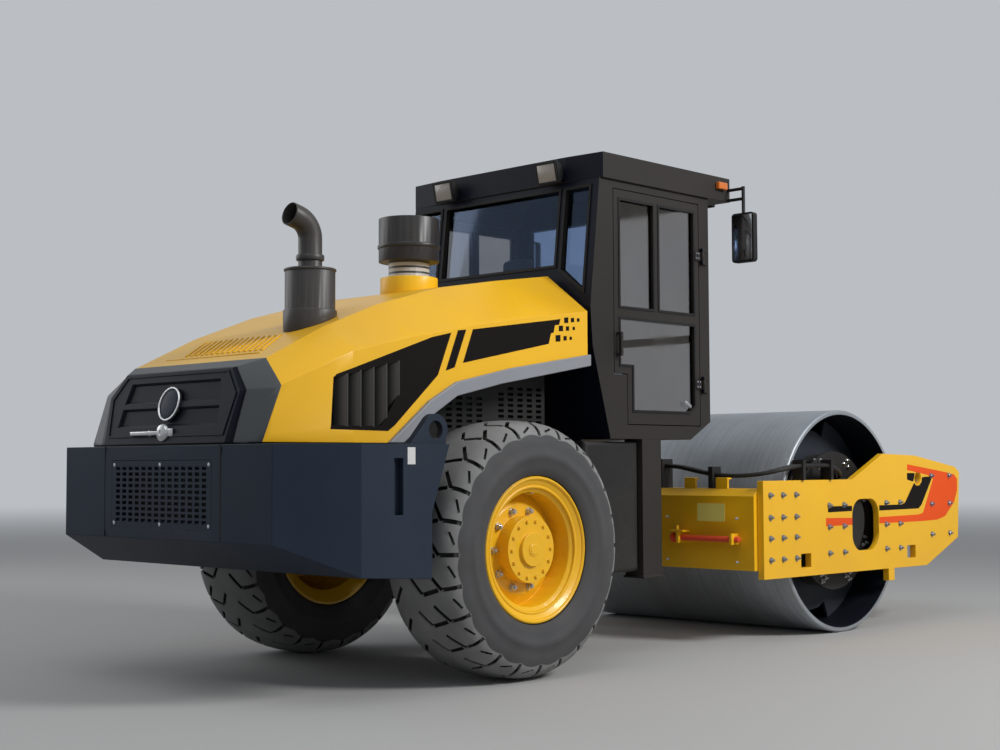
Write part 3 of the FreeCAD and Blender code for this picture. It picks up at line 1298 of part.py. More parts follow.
def hose_clamps():
    """Manifold, port block and the upright clamps that carry the pair of hoses."""
    clear = [tube_along(hose_line(offset), hose_radius + seat_gap) for offset in hose_offsets]
    x0, y0, z0 = hose_route[0]
    manifold = box(x0 - 60.0, x0 + 60.0, y0 - 30.0, y0 + 120.0, beam_top_z, z0 + 45.0)
    x1, y1, z1 = hose_route[-1]
    port = box(x1 - 50.0, x1 + 50.0, -plate_inner_y, y1 + 36.0,
               drum_z + hub_ring_radius + 21.0, z1 + 20.0)
    blocks = [manifold, port]
    for x in (beam_mid_x + 405.0, beam_mid_x + 760.0):
        blocks.append(box(x - 15.0, x + 15.0, -plate_outer_y - 20.0, -plate_inner_y + 20.0,
                          plate_top_z, beam_top_z + 195.0))
    saddle_y = -plate_outer_y + 450.0
    blocks.append(box(beam_mid_x - 50.0, beam_mid_x + 50.0, saddle_y - 18.0, saddle_y + 18.0,
                      beam_top_z, beam_top_z + 150.0))
    clearance = Part.makeCompound(clear)
    return Part.makeCompound([block.cut(clearance) for block in blocks])


def beam_brackets():
    """Two bent yellow lugs on the rear beam's top edge."""
    lugs = []
    for y in (-plate_outer_y + 620.0, -plate_outer_y + 350.0):
        x = beam_rear_x + 62.0
        upright = box(x - 10.0, x + 10.0, y - 50.0, y + 50.0, beam_top_z, beam_top_z + 62.0)
        top = box(x - 10.0, x + 40.0, y - 50.0, y + 50.0, beam_top_z + 62.0, beam_top_z + 74.0)
        lugs.append(fused([upright, top]))
    return Part.makeCompound(lugs)


os.makedirs("parts", exist_ok=True)

right_tyre = tyre()
right_rim = wheel_rim()
right_leaf = door_frame()
right_panes = door_glass()
right_plate = side_plate_right()
save("rear_tyre_right", right_tyre)
save("rear_tyre_left", mirrored(right_tyre))
save("rear_rim_right", right_rim)
save("rear_rim_left", mirrored(right_rim))
save("rear_axle", rear_axle())
save("rear_frame", rear_frame())
save("counterweight", counterweight())
save("counterweight_grille", rear_grille())
save("lifting_eyes", lifting_eyes())
save("engine_block", engine_block())
save("side_mesh_guards", side_mesh_guards())
save("fuel_tank", tank(-1.0))
save("hydraulic_tank", tank(1.0))
save("support_posts", support_posts())
save("cab_shell", cab_shell())
save("cab_floor", cab_floor())
save("cab_roof", cab_roof())
save("cab_glass", cab_glass())
save("cab_seat", cab_seat())
save("steering_console", steering_console())
save("work_lights", work_lights())
save("beacon_lamps", beacon_lamps())
save("mirrors", mirrors())
save("door_right_frame", right_leaf)
save("door_left_frame", mirrored(right_leaf))
save("door_right_glass", right_panes)
save("door_left_glass", mirrored(right_panes))
save("hood_shell", hood_shell())
save("hood_cap", hood_cap())
save("hood_louvres", hood_louvres())
save("arch_trims", arch_trims())
save("exhaust_stack", exhaust_stack())
save("pre_cleaner", pre_cleaner())
save("hood_latch", hood_latch())
save("articulation_yoke", articulation_yoke())
for side_name, side in (("right", -1.0), ("left", 1.0)):
    save("steering_barrel_" + side_name, steering_barrel(side))
    save("steering_rod_" + side_name, steering_rod(side))
save("drum_shell", drum_shell())
save("drum_end_discs", drum_end_discs())
save("drum_mounts", drum_mounts())
save("side_plate_right", right_plate)
save("side_plate_left", mirrored(right_plate))
save("rear_cross_beam", rear_cross_beam())
save("front_cross_beam", front_cross_beam())
save("drum_scrapers", drum_scrapers())
save("lock_bar", lock_bar())
save("lock_bar_brackets", lock_bar_brackets())
save("drive_hoses", drive_hoses())
save("hose_clamps", hose_clamps())
save("beam_brackets", beam_brackets())
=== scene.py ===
import bpy
import math
from mathutils import Matrix, Vector


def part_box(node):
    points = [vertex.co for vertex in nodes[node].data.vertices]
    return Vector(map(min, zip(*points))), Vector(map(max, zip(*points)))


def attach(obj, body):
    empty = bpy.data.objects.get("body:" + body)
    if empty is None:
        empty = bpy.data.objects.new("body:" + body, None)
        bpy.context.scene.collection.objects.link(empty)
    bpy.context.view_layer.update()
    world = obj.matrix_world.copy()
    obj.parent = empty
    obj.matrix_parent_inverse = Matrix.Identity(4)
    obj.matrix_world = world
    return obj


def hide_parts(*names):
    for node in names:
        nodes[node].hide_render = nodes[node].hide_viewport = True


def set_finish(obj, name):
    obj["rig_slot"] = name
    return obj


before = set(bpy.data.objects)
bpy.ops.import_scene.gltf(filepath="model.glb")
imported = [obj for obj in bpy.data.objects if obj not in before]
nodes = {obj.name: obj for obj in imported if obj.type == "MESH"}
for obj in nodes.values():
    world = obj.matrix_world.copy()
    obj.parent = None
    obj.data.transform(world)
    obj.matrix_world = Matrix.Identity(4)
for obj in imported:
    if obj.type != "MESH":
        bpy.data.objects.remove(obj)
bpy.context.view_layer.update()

# Where the roller stands
# A pale level floor under an even pale sky, lit softly from large lamps on both sides and from
# above, and seen from behind and to the right at standing height.

bpy.context.scene.view_settings.view_transform = "Standard"
bpy.ops.mesh.primitive_plane_add(size=400.0, location=(0.0, 0.0, -0.002))
floor = bpy.context.object
floor.name = "studio_floor"


def plain_material(name, colour, roughness):
    made = bpy.data.materials.new(name)
    made.use_nodes = True
    shader = made.node_tree.nodes["Principled BSDF"]
    shader.inputs["Base Color"].default_value = (*colour, 1.0)
    shader.inputs["Roughness"].default_value = roughness
    return made


floor_grey = plain_material("studio_floor_grey", (0.40, 0.395, 0.385), 0.9)
floor.data.materials.append(floor_grey)
floor_tree = floor_grey.node_tree
floor_place = floor_tree.nodes.new("ShaderNodeTexCoord")
floor_reach = floor_tree.nodes.new("ShaderNodeVectorMath")
floor_reach.operation = "LENGTH"
far_off = floor_tree.nodes.new("ShaderNodeMapRange")
far_off.inputs["From Min"].default_value = 9.0
far_off.inputs["From Max"].default_value = 42.0
far_off.interpolation_type = "SMOOTHSTEP"
haze = floor_tree.nodes.new("ShaderNodeEmission")
haze.inputs["Color"].default_value = (0.80, 0.84, 0.89, 1.0)
haze.inputs["Strength"].default_value = 0.62
floor_mix = floor_tree.nodes.new("ShaderNodeMixShader")
floor_tree.links.new(floor_place.outputs["Object"], floor_reach.inputs[0])
floor_tree.links.new(floor_reach.outputs["Value"], far_off.inputs["Value"])
floor_tree.links.new(far_off.outputs["Result"], floor_mix.inputs["Fac"])
floor_tree.links.new(floor_tree.nodes["Principled BSDF"].outputs["BSDF"], floor_mix.inputs[1])
floor_tree.links.new(haze.outputs["Emission"], floor_mix.inputs[2])
floor_tree.links.new(floor_mix.outputs["Shader"], floor_tree.nodes["Material Output"].inputs["Surface"])

world = bpy.data.worlds.new("studio_air")
bpy.context.scene.world = world
world.use_nodes = True
air = world.node_tree.nodes
air_links = world.node_tree.links
dim_air = air["Background"]
dim_air.inputs["Color"].default_value = (0.86, 0.92, 1.0, 1.0)
dim_air.inputs["Strength"].default_value = 0.34
bright_air = air.new("ShaderNodeBackground")
bright_air.inputs["Color"].default_value = (0.80, 0.84, 0.89, 1.0)
bright_air.inputs["Strength"].default_value = 0.62
seen_by = air.new("ShaderNodeLightPath")
seen_or_mirrored = air.new("ShaderNodeMath")
seen_or_mirrored.operation = "MAXIMUM"
seen_or_through = air.new("ShaderNodeMath")
seen_or_through.operation = "MAXIMUM"
air_mix = air.new("ShaderNodeMixShader")
air_links.new(seen_by.outputs["Is Camera Ray"], seen_or_mirrored.inputs[0])
air_links.new(seen_by.outputs["Is Glossy Ray"], seen_or_mirrored.inputs[1])
air_links.new(seen_or_mirrored.outputs[0], seen_or_through.inputs[0])
air_links.new(seen_by.outputs["Is Transmission Ray"], seen_or_through.inputs[1])
air_links.new(seen_or_through.outputs[0], air_mix.inputs["Fac"])
air_links.new(dim_air.outputs["Background"], air_mix.inputs[1])
air_links.new(bright_air.outputs["Background"], air_mix.inputs[2])
air_links.new(air_mix.outputs["Shader"], air["World Output"].inputs["Surface"])

# Lamps: name, place, size across, power in watts
machine_middle = Vector((0.0, 0.0, 1.3))
for lamp_name, lamp_place, lamp_size, lamp_power in (
        ("key_lamp", (2.2, -10.0, 7.5), 3.0, 1080.0),
        ("sky_lamp", (-6.0, -3.0, 11.0), 8.0, 250.0),
        ("far_lamp", (-5.0, 10.0, 6.0), 7.0, 260.0)):
    bpy.ops.object.light_add(type="AREA", location=lamp_place)
    lamp = bpy.context.object
    lamp.name = lamp_name
    lamp.data.energy = lamp_power
    lamp.data.size = lamp_size
    lamp.rotation_euler = (machine_middle - Vector(lamp_place)).to_track_quat("-Z", "Y").to_euler()

bpy.ops.object.camera_add(location=(-7.989, -7.037, 1.218))
camera = bpy.context.object
camera_heading = math.radians(44.095)
camera_pitch = math.radians(3.335)
camera_roll = math.radians(-0.233)
sight = Vector((math.cos(camera_pitch) * math.cos(camera_heading),
                math.cos(camera_pitch) * math.sin(camera_heading), math.sin(camera_pitch)))
level_aim = sight.to_track_quat("-Z", "Y")
camera.rotation_euler = (level_aim.to_matrix() @ Matrix.Rotation(camera_roll, 3, "Z")).to_euler()
camera.data.lens = 55.05
camera.data.sensor_width = 36.0
bpy.context.scene.camera = camera

# Paint on the steelwork
# Sprayed two-coat machine paint: a slight orange-peel skin, a faint uneven shade, and pale
# dust that settles on upward faces and thickens towards the ground.


def new_group(name, inputs, outputs):
    """Empty shader group; inputs and outputs are (socket name, type, starting value)."""
    tree = bpy.data.node_groups.new(name, "ShaderNodeTree")
    for socket_name, kind, value in inputs:
        socket = tree.interface.new_socket(socket_name, in_out="INPUT", socket_type=kind)
        socket.default_value = value
    for socket_name, kind, _ in outputs:
        tree.interface.new_socket(socket_name, in_out="OUTPUT", socket_type=kind)
    return tree, tree.nodes.new("NodeGroupInput"), tree.nodes.new("NodeGroupOutput")


def noise(tree, scale, detail, vector=None):
    node = tree.nodes.new("ShaderNodeTexNoise")
    node.inputs["Scale"].default_value = scale
    node.inputs["Detail"].default_value = detail
    if vector is not None:
        tree.links.new(vector, node.inputs["Vector"])
    return node.outputs["Fac"]


def math_node(tree, operation, first, second=None, clamp=False):
    node = tree.nodes.new("ShaderNodeMath")
    node.operation = operation
    node.use_clamp = clamp
    for socket, value in zip(node.inputs, (first, second)):
        if isinstance(value, (int, float)):
            socket.default_value = value
        elif value is not None:
            tree.links.new(value, socket)
    return node.outputs[0]


def spread(tree, value, low, high, to_low=0.0, to_high=1.0):
    """Map a value's stretch from low to high onto another, held at its ends."""
    node = tree.nodes.new("ShaderNodeMapRange")
    node.inputs["From Min"].default_value = low
    node.inputs["From Max"].default_value = high
    node.inputs["To Min"].default_value = to_low
    node.inputs["To Max"].default_value = to_high
    tree.links.new(value, node.inputs["Value"])
    return node.outputs["Result"]


def mixed(tree, share, first, second):
    node = tree.nodes.new("ShaderNodeMix")
    node.data_type = "RGBA"
    for socket, value in ((node.inputs["Factor"], share), (node.inputs["A"], first),
                          (node.inputs["B"], second)):
        if isinstance(value, tuple):
            socket.default_value = (*value, 1.0)
        elif isinstance(value, (int, float)):
            socket.default_value = value
        else:
            tree.links.new(value, socket)
    return node.outputs["Result"]


def dust_group():
    """Share of dust: more on level faces, near the ground and in soft patches."""
    tree, group_in, group_out = new_group(
        "road_dust", [("Place", "NodeSocketVector", (0.0, 0.0, 0.0)),
                      ("Amount", "NodeSocketFloat", 0.3)], [("Share", "NodeSocketFloat", 0.0)])
    place = group_in.outputs["Place"]
    parts = tree.nodes.new("ShaderNodeSeparateXYZ")
    tree.links.new(place, parts.inputs[0])
    facing = tree.nodes.new("ShaderNodeSeparateXYZ")
    surface = tree.nodes.new("ShaderNodeNewGeometry")
    tree.links.new(surface.outputs["Normal"], facing.inputs[0])
    level = spread(tree, facing.outputs["Z"], 0.35, 1.0, 0.25, 1.0)
    near_ground = spread(tree, parts.outputs["Z"], 0.0, 1.7, 1.0, 0.15)
    patches = spread(tree, noise(tree, 1.7, 6.0, place), 0.35, 0.75)
    specks = spread(tree, noise(tree, 42.0, 3.0, place), 0.3, 0.8, 0.5, 1.0)
    cover = math_node(tree, "MULTIPLY", math_node(tree, "MULTIPLY", patches, specks),
                      math_node(tree, "MAXIMUM", level, near_ground))
    share = math_node(tree, "MULTIPLY", cover, group_in.outputs["Amount"], clamp=True)
    tree.links.new(share, group_out.inputs["Share"])
    return tree


def skin_group():
    """Uneven shade and fine orange peel of sprayed paint, as a shade share and a height."""
    tree, group_in, group_out = new_group(
        "paint_skin", [("Place", "NodeSocketVector", (0.0, 0.0, 0.0)),
                       ("Peel Scale", "NodeSocketFloat", 260.0)],
        [("Shade", "NodeSocketFloat", 0.0), ("Height", "NodeSocketFloat", 0.0)])
    place = group_in.outputs["Place"]
    peel = tree.nodes.new("ShaderNodeTexNoise")
    peel.inputs["Detail"].default_value = 2.0
    tree.links.new(place, peel.inputs["Vector"])
    tree.links.new(group_in.outputs["Peel Scale"], peel.inputs["Scale"])
    tree.links.new(peel.outputs["Fac"], group_out.inputs["Height"])
    shade = spread(tree, noise(tree, 0.9, 4.0, place), 0.3, 0.7)
    tree.links.new(shade, group_out.inputs["Shade"])
    return tree


road_dust = dust_group()
paint_skin = skin_group()
dust_colour = (0.30, 0.25, 0.19)


def use_group(tree, group, place, **values):
    node = tree.nodes.new("ShaderNodeGroup")
    node.node_tree = group
    tree.links.new(place, node.inputs["Place"])
    for name, value in values.items():
        node.inputs[name.replace("_", " ")].default_value = value
    return node


def centred_place(tree, centre=(0.0, 0.0, 0.0), turn=(0.0, 0.0, 0.0)):
    """Object coordinates measured from a piece's own centre."""
    coordinates = tree.nodes.new("ShaderNodeTexCoord")
    mapping = tree.nodes.new("ShaderNodeMapping")
    mapping.vector_type = "TEXTURE"
    mapping.inputs["Location"].default_value = centre
    mapping.inputs["Rotation"].default_value = turn
    tree.links.new(coordinates.outputs["Object"], mapping.inputs["Vector"])
    return mapping.outputs["Vector"]


def bump(tree, shader, height, strength, distance):
    node = tree.nodes.new("ShaderNodeBump")
    node.inputs["Strength"].default_value = strength
    node.inputs["Distance"].default_value = distance
    tree.links.new(height, node.inputs["Height"])
    tree.links.new(node.outputs["Normal"], shader.inputs["Normal"])


def sprayed_paint(name, colour, deeper, roughness, dust=0.3, coat=0.0, peel=0.12, gloss=0.4):
    """Sprayed paint of one colour with its shade, peel and dust."""
    made = bpy.data.materials.new(name)
    made.use_nodes = True
    tree = made.node_tree
    shader = tree.nodes["Principled BSDF"]
    place = centred_place(tree)
    skin = use_group(tree, paint_skin, place)
    dirt = use_group(tree, road_dust, place, Amount=dust)
    shaded = mixed(tree, skin.outputs["Shade"], colour, deeper)
    dusty = mixed(tree, dirt.outputs["Share"], shaded, dust_colour)
    tree.links.new(dusty, shader.inputs["Base Color"])
    worn = spread(tree, dirt.outputs["Share"], 0.0, 0.6, roughness, min(roughness + 0.35, 0.95))
    tree.links.new(worn, shader.inputs["Roughness"])
    shader.inputs["Coat Weight"].default_value = coat
    shader.inputs["Coat Roughness"].default_value = 0.12
    shader.inputs["Specular IOR Level"].default_value = gloss
    bump(tree, shader, skin.outputs["Height"], peel, 0.0006)
    return made


yellow_paint = sprayed_paint("roller_yellow", (0.84, 0.47, 0.008), (0.78, 0.41, 0.006), 0.34,
                             dust=0.12, coat=0.12)


def place_parts(tree):
    """X, Y and Z of the place in a piece's own coordinates."""
    parts = tree.nodes.new("ShaderNodeSeparateXYZ")
    tree.links.new(centred_place(tree), parts.inputs[0])
    return parts.outputs


def over_painted(material, share, colour):
    """A second colour over a paint, where the share is 1."""
    tree = material.node_tree
    base = tree.nodes["Principled BSDF"].inputs["Base Color"]
    tree.links.new(mixed(tree, share, base.links[0].from_socket, colour), base)


slate_paint = sprayed_paint("ballast_slate", (0.018, 0.028, 0.047), (0.012, 0.020, 0.034), 0.48,
                            dust=0.07, gloss=0.15)
cab_paint = sprayed_paint("cab_charcoal", (0.029, 0.0255, 0.023), (0.021, 0.0185, 0.017), 0.48,
                          dust=0.06, gloss=0.15)
# Painted shade: the rearward-facing faces, the cab's rear wall and the roof's rear rail, are coloured
# blue-black
cab_paint_with_rear_shade = cab_paint.copy()
cab_paint_with_rear_shade.name = "cab_rear_painted_shade"
tree = cab_paint_with_rear_shade.node_tree
surface = tree.nodes.new("ShaderNodeNewGeometry")
facing = tree.nodes.new("ShaderNodeSeparateXYZ")
tree.links.new(surface.outputs["Normal"], facing.inputs[0])
over_painted(cab_paint_with_rear_shade, spread(tree, facing.outputs["X"], -0.9, -0.6, 1.0, 0.0),
             (0.003, 0.0045, 0.012))
chassis_paint = sprayed_paint("chassis_black", (0.014, 0.014, 0.015), (0.009, 0.009, 0.010), 0.5,
                              dust=0.22, gloss=0.2)
louvre_paint = sprayed_paint("louvre_grey", (0.058, 0.054, 0.050), (0.046, 0.042, 0.039), 0.5,
                             dust=0.08, gloss=0.15)
# Painted shade: the slats' inner edges, deeper inside the vent, are coloured near black
tree = louvre_paint.node_tree
slat_reach = math_node(tree, "ABSOLUTE", place_parts(tree)["Y"])
over_painted(louvre_paint, spread(tree, slat_reach, 0.824, 0.845, 1.0, 0.0), (0.0015, 0.0015, 0.0015))
arch_paint = sprayed_paint("arch_grey", (0.25, 0.26, 0.28), (0.21, 0.22, 0.24), 0.40, dust=0.25)
red_paint = sprayed_paint("warning_red", (0.72, 0.075, 0.020), (0.62, 0.055, 0.016), 0.38, dust=0.2)


def finish_node(name, material, bevel=0.003, segments=2):
    """Give a carried-over part its finish, and the small round that a real edge has."""
    part = nodes[name]
    part.data.materials.clear()
    part.data.materials.append(material)
    weld = part.modifiers.new("weld", "WELD")
    weld.merge_threshold = 0.00005
    flats = part.modifiers.new("flats", "DECIMATE")
    flats.decimate_type = "DISSOLVE"
    flats.angle_limit = math.radians(1.0)
    if bevel:
        edge = part.modifiers.new("edge", "BEVEL")
        edge.width = bevel
        edge.segments = segments
        edge.limit_method = "ANGLE"
        edge.angle_limit = math.radians(28.0)
        edge.use_clamp_overlap = True
        edge.harden_normals = True
    return part


for name in ("hood_shell", "rear_cross_beam", "front_cross_beam", "side_plate_right",
             "side_plate_left", "beam_brackets", "lock_bar_brackets"):
    finish_node(name, yellow_paint, 0.004)
for name in ("counterweight", "lifting_eyes"):
    finish_node(name, slate_paint, 0.005)
finish_node("counterweight_grille", slate_paint, 0.0)
# Cab shell and roof take the paint with painted shade on their rearward faces
for name in ("cab_shell", "cab_roof"):
    finish_node(name, cab_paint_with_rear_shade, 0.004)
for name in ("support_posts", "door_right_frame", "door_left_frame"):
    finish_node(name, cab_paint, 0.004)
for name in ("rear_axle", "rear_frame", "engine_block", "fuel_tank", "hydraulic_tank", "cab_floor",
             "articulation_yoke", "drum_scrapers", "hose_clamps", "steering_barrel_right",
             "steering_barrel_left"):
    finish_node(name, chassis_paint, 0.003)
finish_node("hood_louvres", louvre_paint, 0.0)
finish_node("side_mesh_guards", chassis_paint, 0.0)
finish_node("arch_trims", arch_paint, 0.006, 3)
finish_node("lock_bar", red_paint, 0.003)

# Rear tyres
# Wide flotation tyres of grey, dusty rubber. The carcass is turned from one profile with round
# shoulders, and L-shaped grooves are cut into its crown, with short ones round the shoulders.


def deselect():
    if bpy.context.object and bpy.context.object.mode == "EDIT":
        bpy.ops.object.mode_set(mode="OBJECT")
    bpy.ops.object.select_all(action="DESELECT")


def turned(profile, place, steps, axis="Y"):
    """Spin a closed profile of (radius, along) points about an axis through the place."""
    out, along = {"X": ((0, 0, 1), (1, 0, 0)), "Y": ((1, 0, 0), (0, 1, 0)), "Z": ((1, 0, 0), (0, 0, 1))}[axis]
    out, along = Vector(out), Vector(along)
    place = Vector(place)
    points = [place + out * r + along * a for r, a in profile]
    deselect()
    bpy.ops.mesh.primitive_plane_add(size=0.01, location=points[0])
    piece = bpy.context.object
    bpy.ops.object.mode_set(mode="EDIT")
    bpy.ops.mesh.merge(type="CENTER")
    for before, after in zip(points, points[1:] + points[:1]):
        bpy.ops.mesh.extrude_vertices_move(TRANSFORM_OT_translate={"value": after - before})
    bpy.ops.mesh.select_all(action="SELECT")
    bpy.ops.mesh.spin(steps=steps, angle=2.0 * math.pi, center=place, axis=along)
    bpy.ops.mesh.select_all(action="SELECT")
    bpy.ops.mesh.remove_doubles(threshold=0.00001)
    bpy.ops.mesh.normals_make_consistent(inside=False)
    bpy.ops.object.mode_set(mode="OBJECT")
    bpy.ops.object.transform_apply(location=True, rotation=False, scale=False)
    return piece


def repeated(piece, count, centre, axis):
    """Repeat the mesh evenly round an axis, all in one piece."""
    deselect()
    piece.select_set(True)
    bpy.context.view_layer.objects.active = piece
    bpy.ops.object.mode_set(mode="EDIT")
    bpy.ops.mesh.select_all(action="SELECT")
    bpy.ops.mesh.spin(steps=count - 1, angle=2.0 * math.pi * (count - 1) / count, dupli=True,
                      center=centre, axis=axis)
    bpy.ops.object.mode_set(mode="OBJECT")
    return piece


def joined(pieces):
    deselect()
    for piece in pieces:
        piece.select_set(True)
    bpy.context.view_layer.objects.active = pieces[0]
    bpy.ops.object.join()
    return pieces[0]


def finished(piece, name, material, slot, body, smooth=32.0):
    """Settle a modelled piece: its place in its mesh, its finish, and the body it rides on."""
    deselect()
    piece.select_set(True)
    bpy.context.view_layer.objects.active = piece
    bpy.ops.object.transform_apply(location=True, rotation=True, scale=True)
    bpy.ops.object.shade_smooth_by_angle(angle=math.radians(smooth))
    piece.name = name
    piece.data.name = name
    piece.data.materials.clear()
    piece.data.materials.append(material)
    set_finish(piece, slot)
    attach(piece, body)
    return piece


def mirrored_copy(piece, name, body):
    """The same piece on the machine's other side, with a mesh of its own."""
    deselect()
    other = piece.copy()
    other.data = piece.data.copy()
    bpy.context.scene.collection.objects.link(other)
    other.select_set(True)
    bpy.context.view_layer.objects.active = other
    bpy.ops.object.mode_set(mode="EDIT")
    bpy.ops.mesh.select_all(action="SELECT")
    bpy.ops.transform.mirror(constraint_axis=(False, True, False), center_override=(0, 0, 0))
    bpy.ops.mesh.flip_normals()
    bpy.ops.object.mode_set(mode="OBJECT")
    other.name = name
    other.data.name = name
    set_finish(other, piece["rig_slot"])
    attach(other, body)
    return other


tyre_low, tyre_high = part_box("rear_tyre_right")
tyre_middle = (tyre_low + tyre_high) / 2.0
tyre_radius = tyre_middle.z
tyre_half = (tyre_high.y - tyre_low.y) / 2.0
tyre_profile = [(0.347, -0.180), (0.418, -0.222), (0.419, -0.248), (0.432, -0.262),
                (0.470, -0.279), (0.512, -0.286), (0.516, -0.2885), (0.545, -0.2885),
                (0.549, -0.286), (0.590, -0.284), (0.632, -0.277), (0.668, -0.262),
                (0.697, -0.235), (0.716, -0.196), (0.727, -0.140), (0.7325, -0.075), (0.7345, 0.0)]
tyre_profile += [(r, -y) for r, y in reversed(tyre_profile[:-1])]
tyre_pitches = 24
half_pitch = math.pi / tyre_pitches


def groove_row(turn, across, reach, length, lean, tilt, width=0.025, deep=0.024):
    """A ring of straight cutters on the tread, each leaning in plan and tilted to the surface."""
    deselect()
    bpy.ops.mesh.primitive_cube_add(size=1.0, location=(0, 0, 0))
    cutter = bpy.context.object
    cutter.scale = (width, length, 2.0 * deep)
    cutter.rotation_mode = "ZYX"
    cutter.rotation_euler = (tilt, 0.0, lean)
    bpy.ops.object.transform_apply(location=False, rotation=True, scale=True)
    cutter.location = (tyre_middle.x, tyre_middle.y + across, tyre_middle.z + reach)
    bpy.ops.object.transform_apply(location=True, rotation=False, scale=False)
    bpy.ops.object.mode_set(mode="EDIT")
    bpy.ops.mesh.select_all(action="SELECT")
    bpy.ops.transform.rotate(value=turn, orient_axis="Y", center_override=tyre_middle)
    bpy.ops.object.mode_set(mode="OBJECT")
    return repeated(cutter, tyre_pitches, tyre_middle, (0, 1, 0))


# Rings of grooves: turn round the axle, place across, distance from the axle, length, lean, tilt
groove_rows = [(0.0, -0.240, 0.694, 0.120, 0.0, 0.80), (-0.066, -0.152, 0.725, 0.126, -0.89, 0.10),
               (0.023, -0.112, 0.730, 0.120, 0.25, 0.06), (-0.020, -0.014, 0.7345, 0.110, -0.89, 0.0),
               (half_pitch, 0.240, 0.694, 0.120, 0.0, -0.80),
               (half_pitch - 0.066, 0.152, 0.725, 0.126, 0.89, -0.10)]
cutters = [groove_row(*row) for row in groove_rows]
for side in (-1.0, 1.0):
    turn = half_pitch if side < 0 else 0.0
    cutters.append(groove_row(turn, side * 0.2515, 0.680, 0.075, side * 1.1, -side * 0.95,
                              width=0.014, deep=0.014))
tyre = turned(tyre_profile, tyre_middle, 144)
for cutter in cutters:
    cut = tyre.modifiers.new("grooves", "BOOLEAN")
    cut.operation = "DIFFERENCE"
    cut.solver = "EXACT"
    cut.object = cutter
    deselect()
    tyre.select_set(True)
    bpy.context.view_layer.objects.active = tyre
    bpy.ops.object.modifier_apply(modifier=cut.name)
    bpy.data.objects.remove(cutter)


def tyre_rubber():
    """Grey rubber: a lighter crown with a scalloped edge, partly dust and wear and partly painted light, darker
    walls with moulding rings, and grooves in painted shade.
    """
    made = bpy.data.materials.new("tyre_rubber")
    made.use_nodes = True
    tree = made.node_tree
    shader = tree.nodes["Principled BSDF"]
    place = centred_place(tree, centre=(tyre_middle.x, 0.0, tyre_middle.z))
    world_place = centred_place(tree)
    parts = tree.nodes.new("ShaderNodeSeparateXYZ")
    tree.links.new(place, parts.inputs[0])
    reach = math_node(tree, "SQRT", math_node(
        tree, "ADD", math_node(tree, "MULTIPLY", parts.outputs["X"], parts.outputs["X"]),
        math_node(tree, "MULTIPLY", parts.outputs["Z"], parts.outputs["Z"])))
    round_place = math_node(tree, "ARCTAN2", parts.outputs["Z"], parts.outputs["X"])
    scallop = math_node(tree, "ABSOLUTE", math_node(tree, "SINE", math_node(
        tree, "MULTIPLY", round_place, tyre_pitches / 2.0)))
    # The crown is lighter than the walls: partly dust and wear, partly painted light on the tread
    edge = spread(tree, scallop, 0.0, 1.0, 0.634, 0.648)
    crown_wear_and_light = spread(tree, math_node(tree, "SUBTRACT", reach, edge), 0.0, 0.006)
    cloud = spread(tree, noise(tree, 5.0, 5.0, world_place), 0.3, 0.7)
    wall = mixed(tree, cloud, (0.050, 0.050, 0.052), (0.066, 0.066, 0.068))
    crown_dust_and_light = mixed(tree, cloud, (0.165, 0.164, 0.162), (0.225, 0.223, 0.220))
    rubber = mixed(tree, crown_wear_and_light, wall, crown_dust_and_light)
    # Painted shade: the grooves, whose floors lie well below the crown's curve, are coloured near black
    across = math_node(tree, "ABSOLUTE", math_node(
        tree, "SUBTRACT", math_node(tree, "ABSOLUTE", parts.outputs["Y"]), abs(tyre_middle.y)))
    crown_curve = math_node(tree, "SUBTRACT", tyre_radius, math_node(
        tree, "MULTIPLY", math_node(tree, "POWER", across, 4.0), 12.3))
    groove_shade_depth = spread(tree, math_node(tree, "SUBTRACT", crown_curve, reach), 0.007, 0.013)
    on_crown = spread(tree, across, 0.244, 0.252, 1.0, 0.0)
    rubber = mixed(tree, math_node(tree, "MULTIPLY", groove_shade_depth, on_crown), rubber, (0.012, 0.012, 0.012))
    dirt = use_group(tree, road_dust, world_place, Amount=0.22)
    tree.links.new(mixed(tree, dirt.outputs["Share"], rubber, (0.16, 0.145, 0.125)),
                   shader.inputs["Base Color"])
    shader.inputs["Roughness"].default_value = 0.72
    shader.inputs["Specular IOR Level"].default_value = 0.25
    rings = math_node(tree, "SINE", math_node(tree, "MULTIPLY", reach, 520.0))
    ring_height = math_node(tree, "MULTIPLY", rings, spread(tree, reach, 0.56, 0.62, 0.25, 0.0))
    grain = noise(tree, 330.0, 3.0, world_place)
    bump(tree, shader, math_node(tree, "ADD", ring_height, grain), 0.25, 0.001)
    return made


tyre_finish = tyre_rubber()
tyre_right = finished(tyre, "tyre_right", tyre_finish, "tyre_rubber", "rear_wheel_right", 38.0)
tyre_left = mirrored_copy(tyre_right, "tyre_left", "rear_wheel_left")
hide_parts("rear_tyre_right")
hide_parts("rear_tyre_left")

# Rear wheel rims
# Pressed steel rims in the machine's yellow, carried by ten chromed wheel nuts, with the round
# cover of the final drive in the middle held by a ring of small bolts.

for name in ("rear_rim_right", "rear_rim_left"):
    finish_node(name, yellow_paint, 0.003)


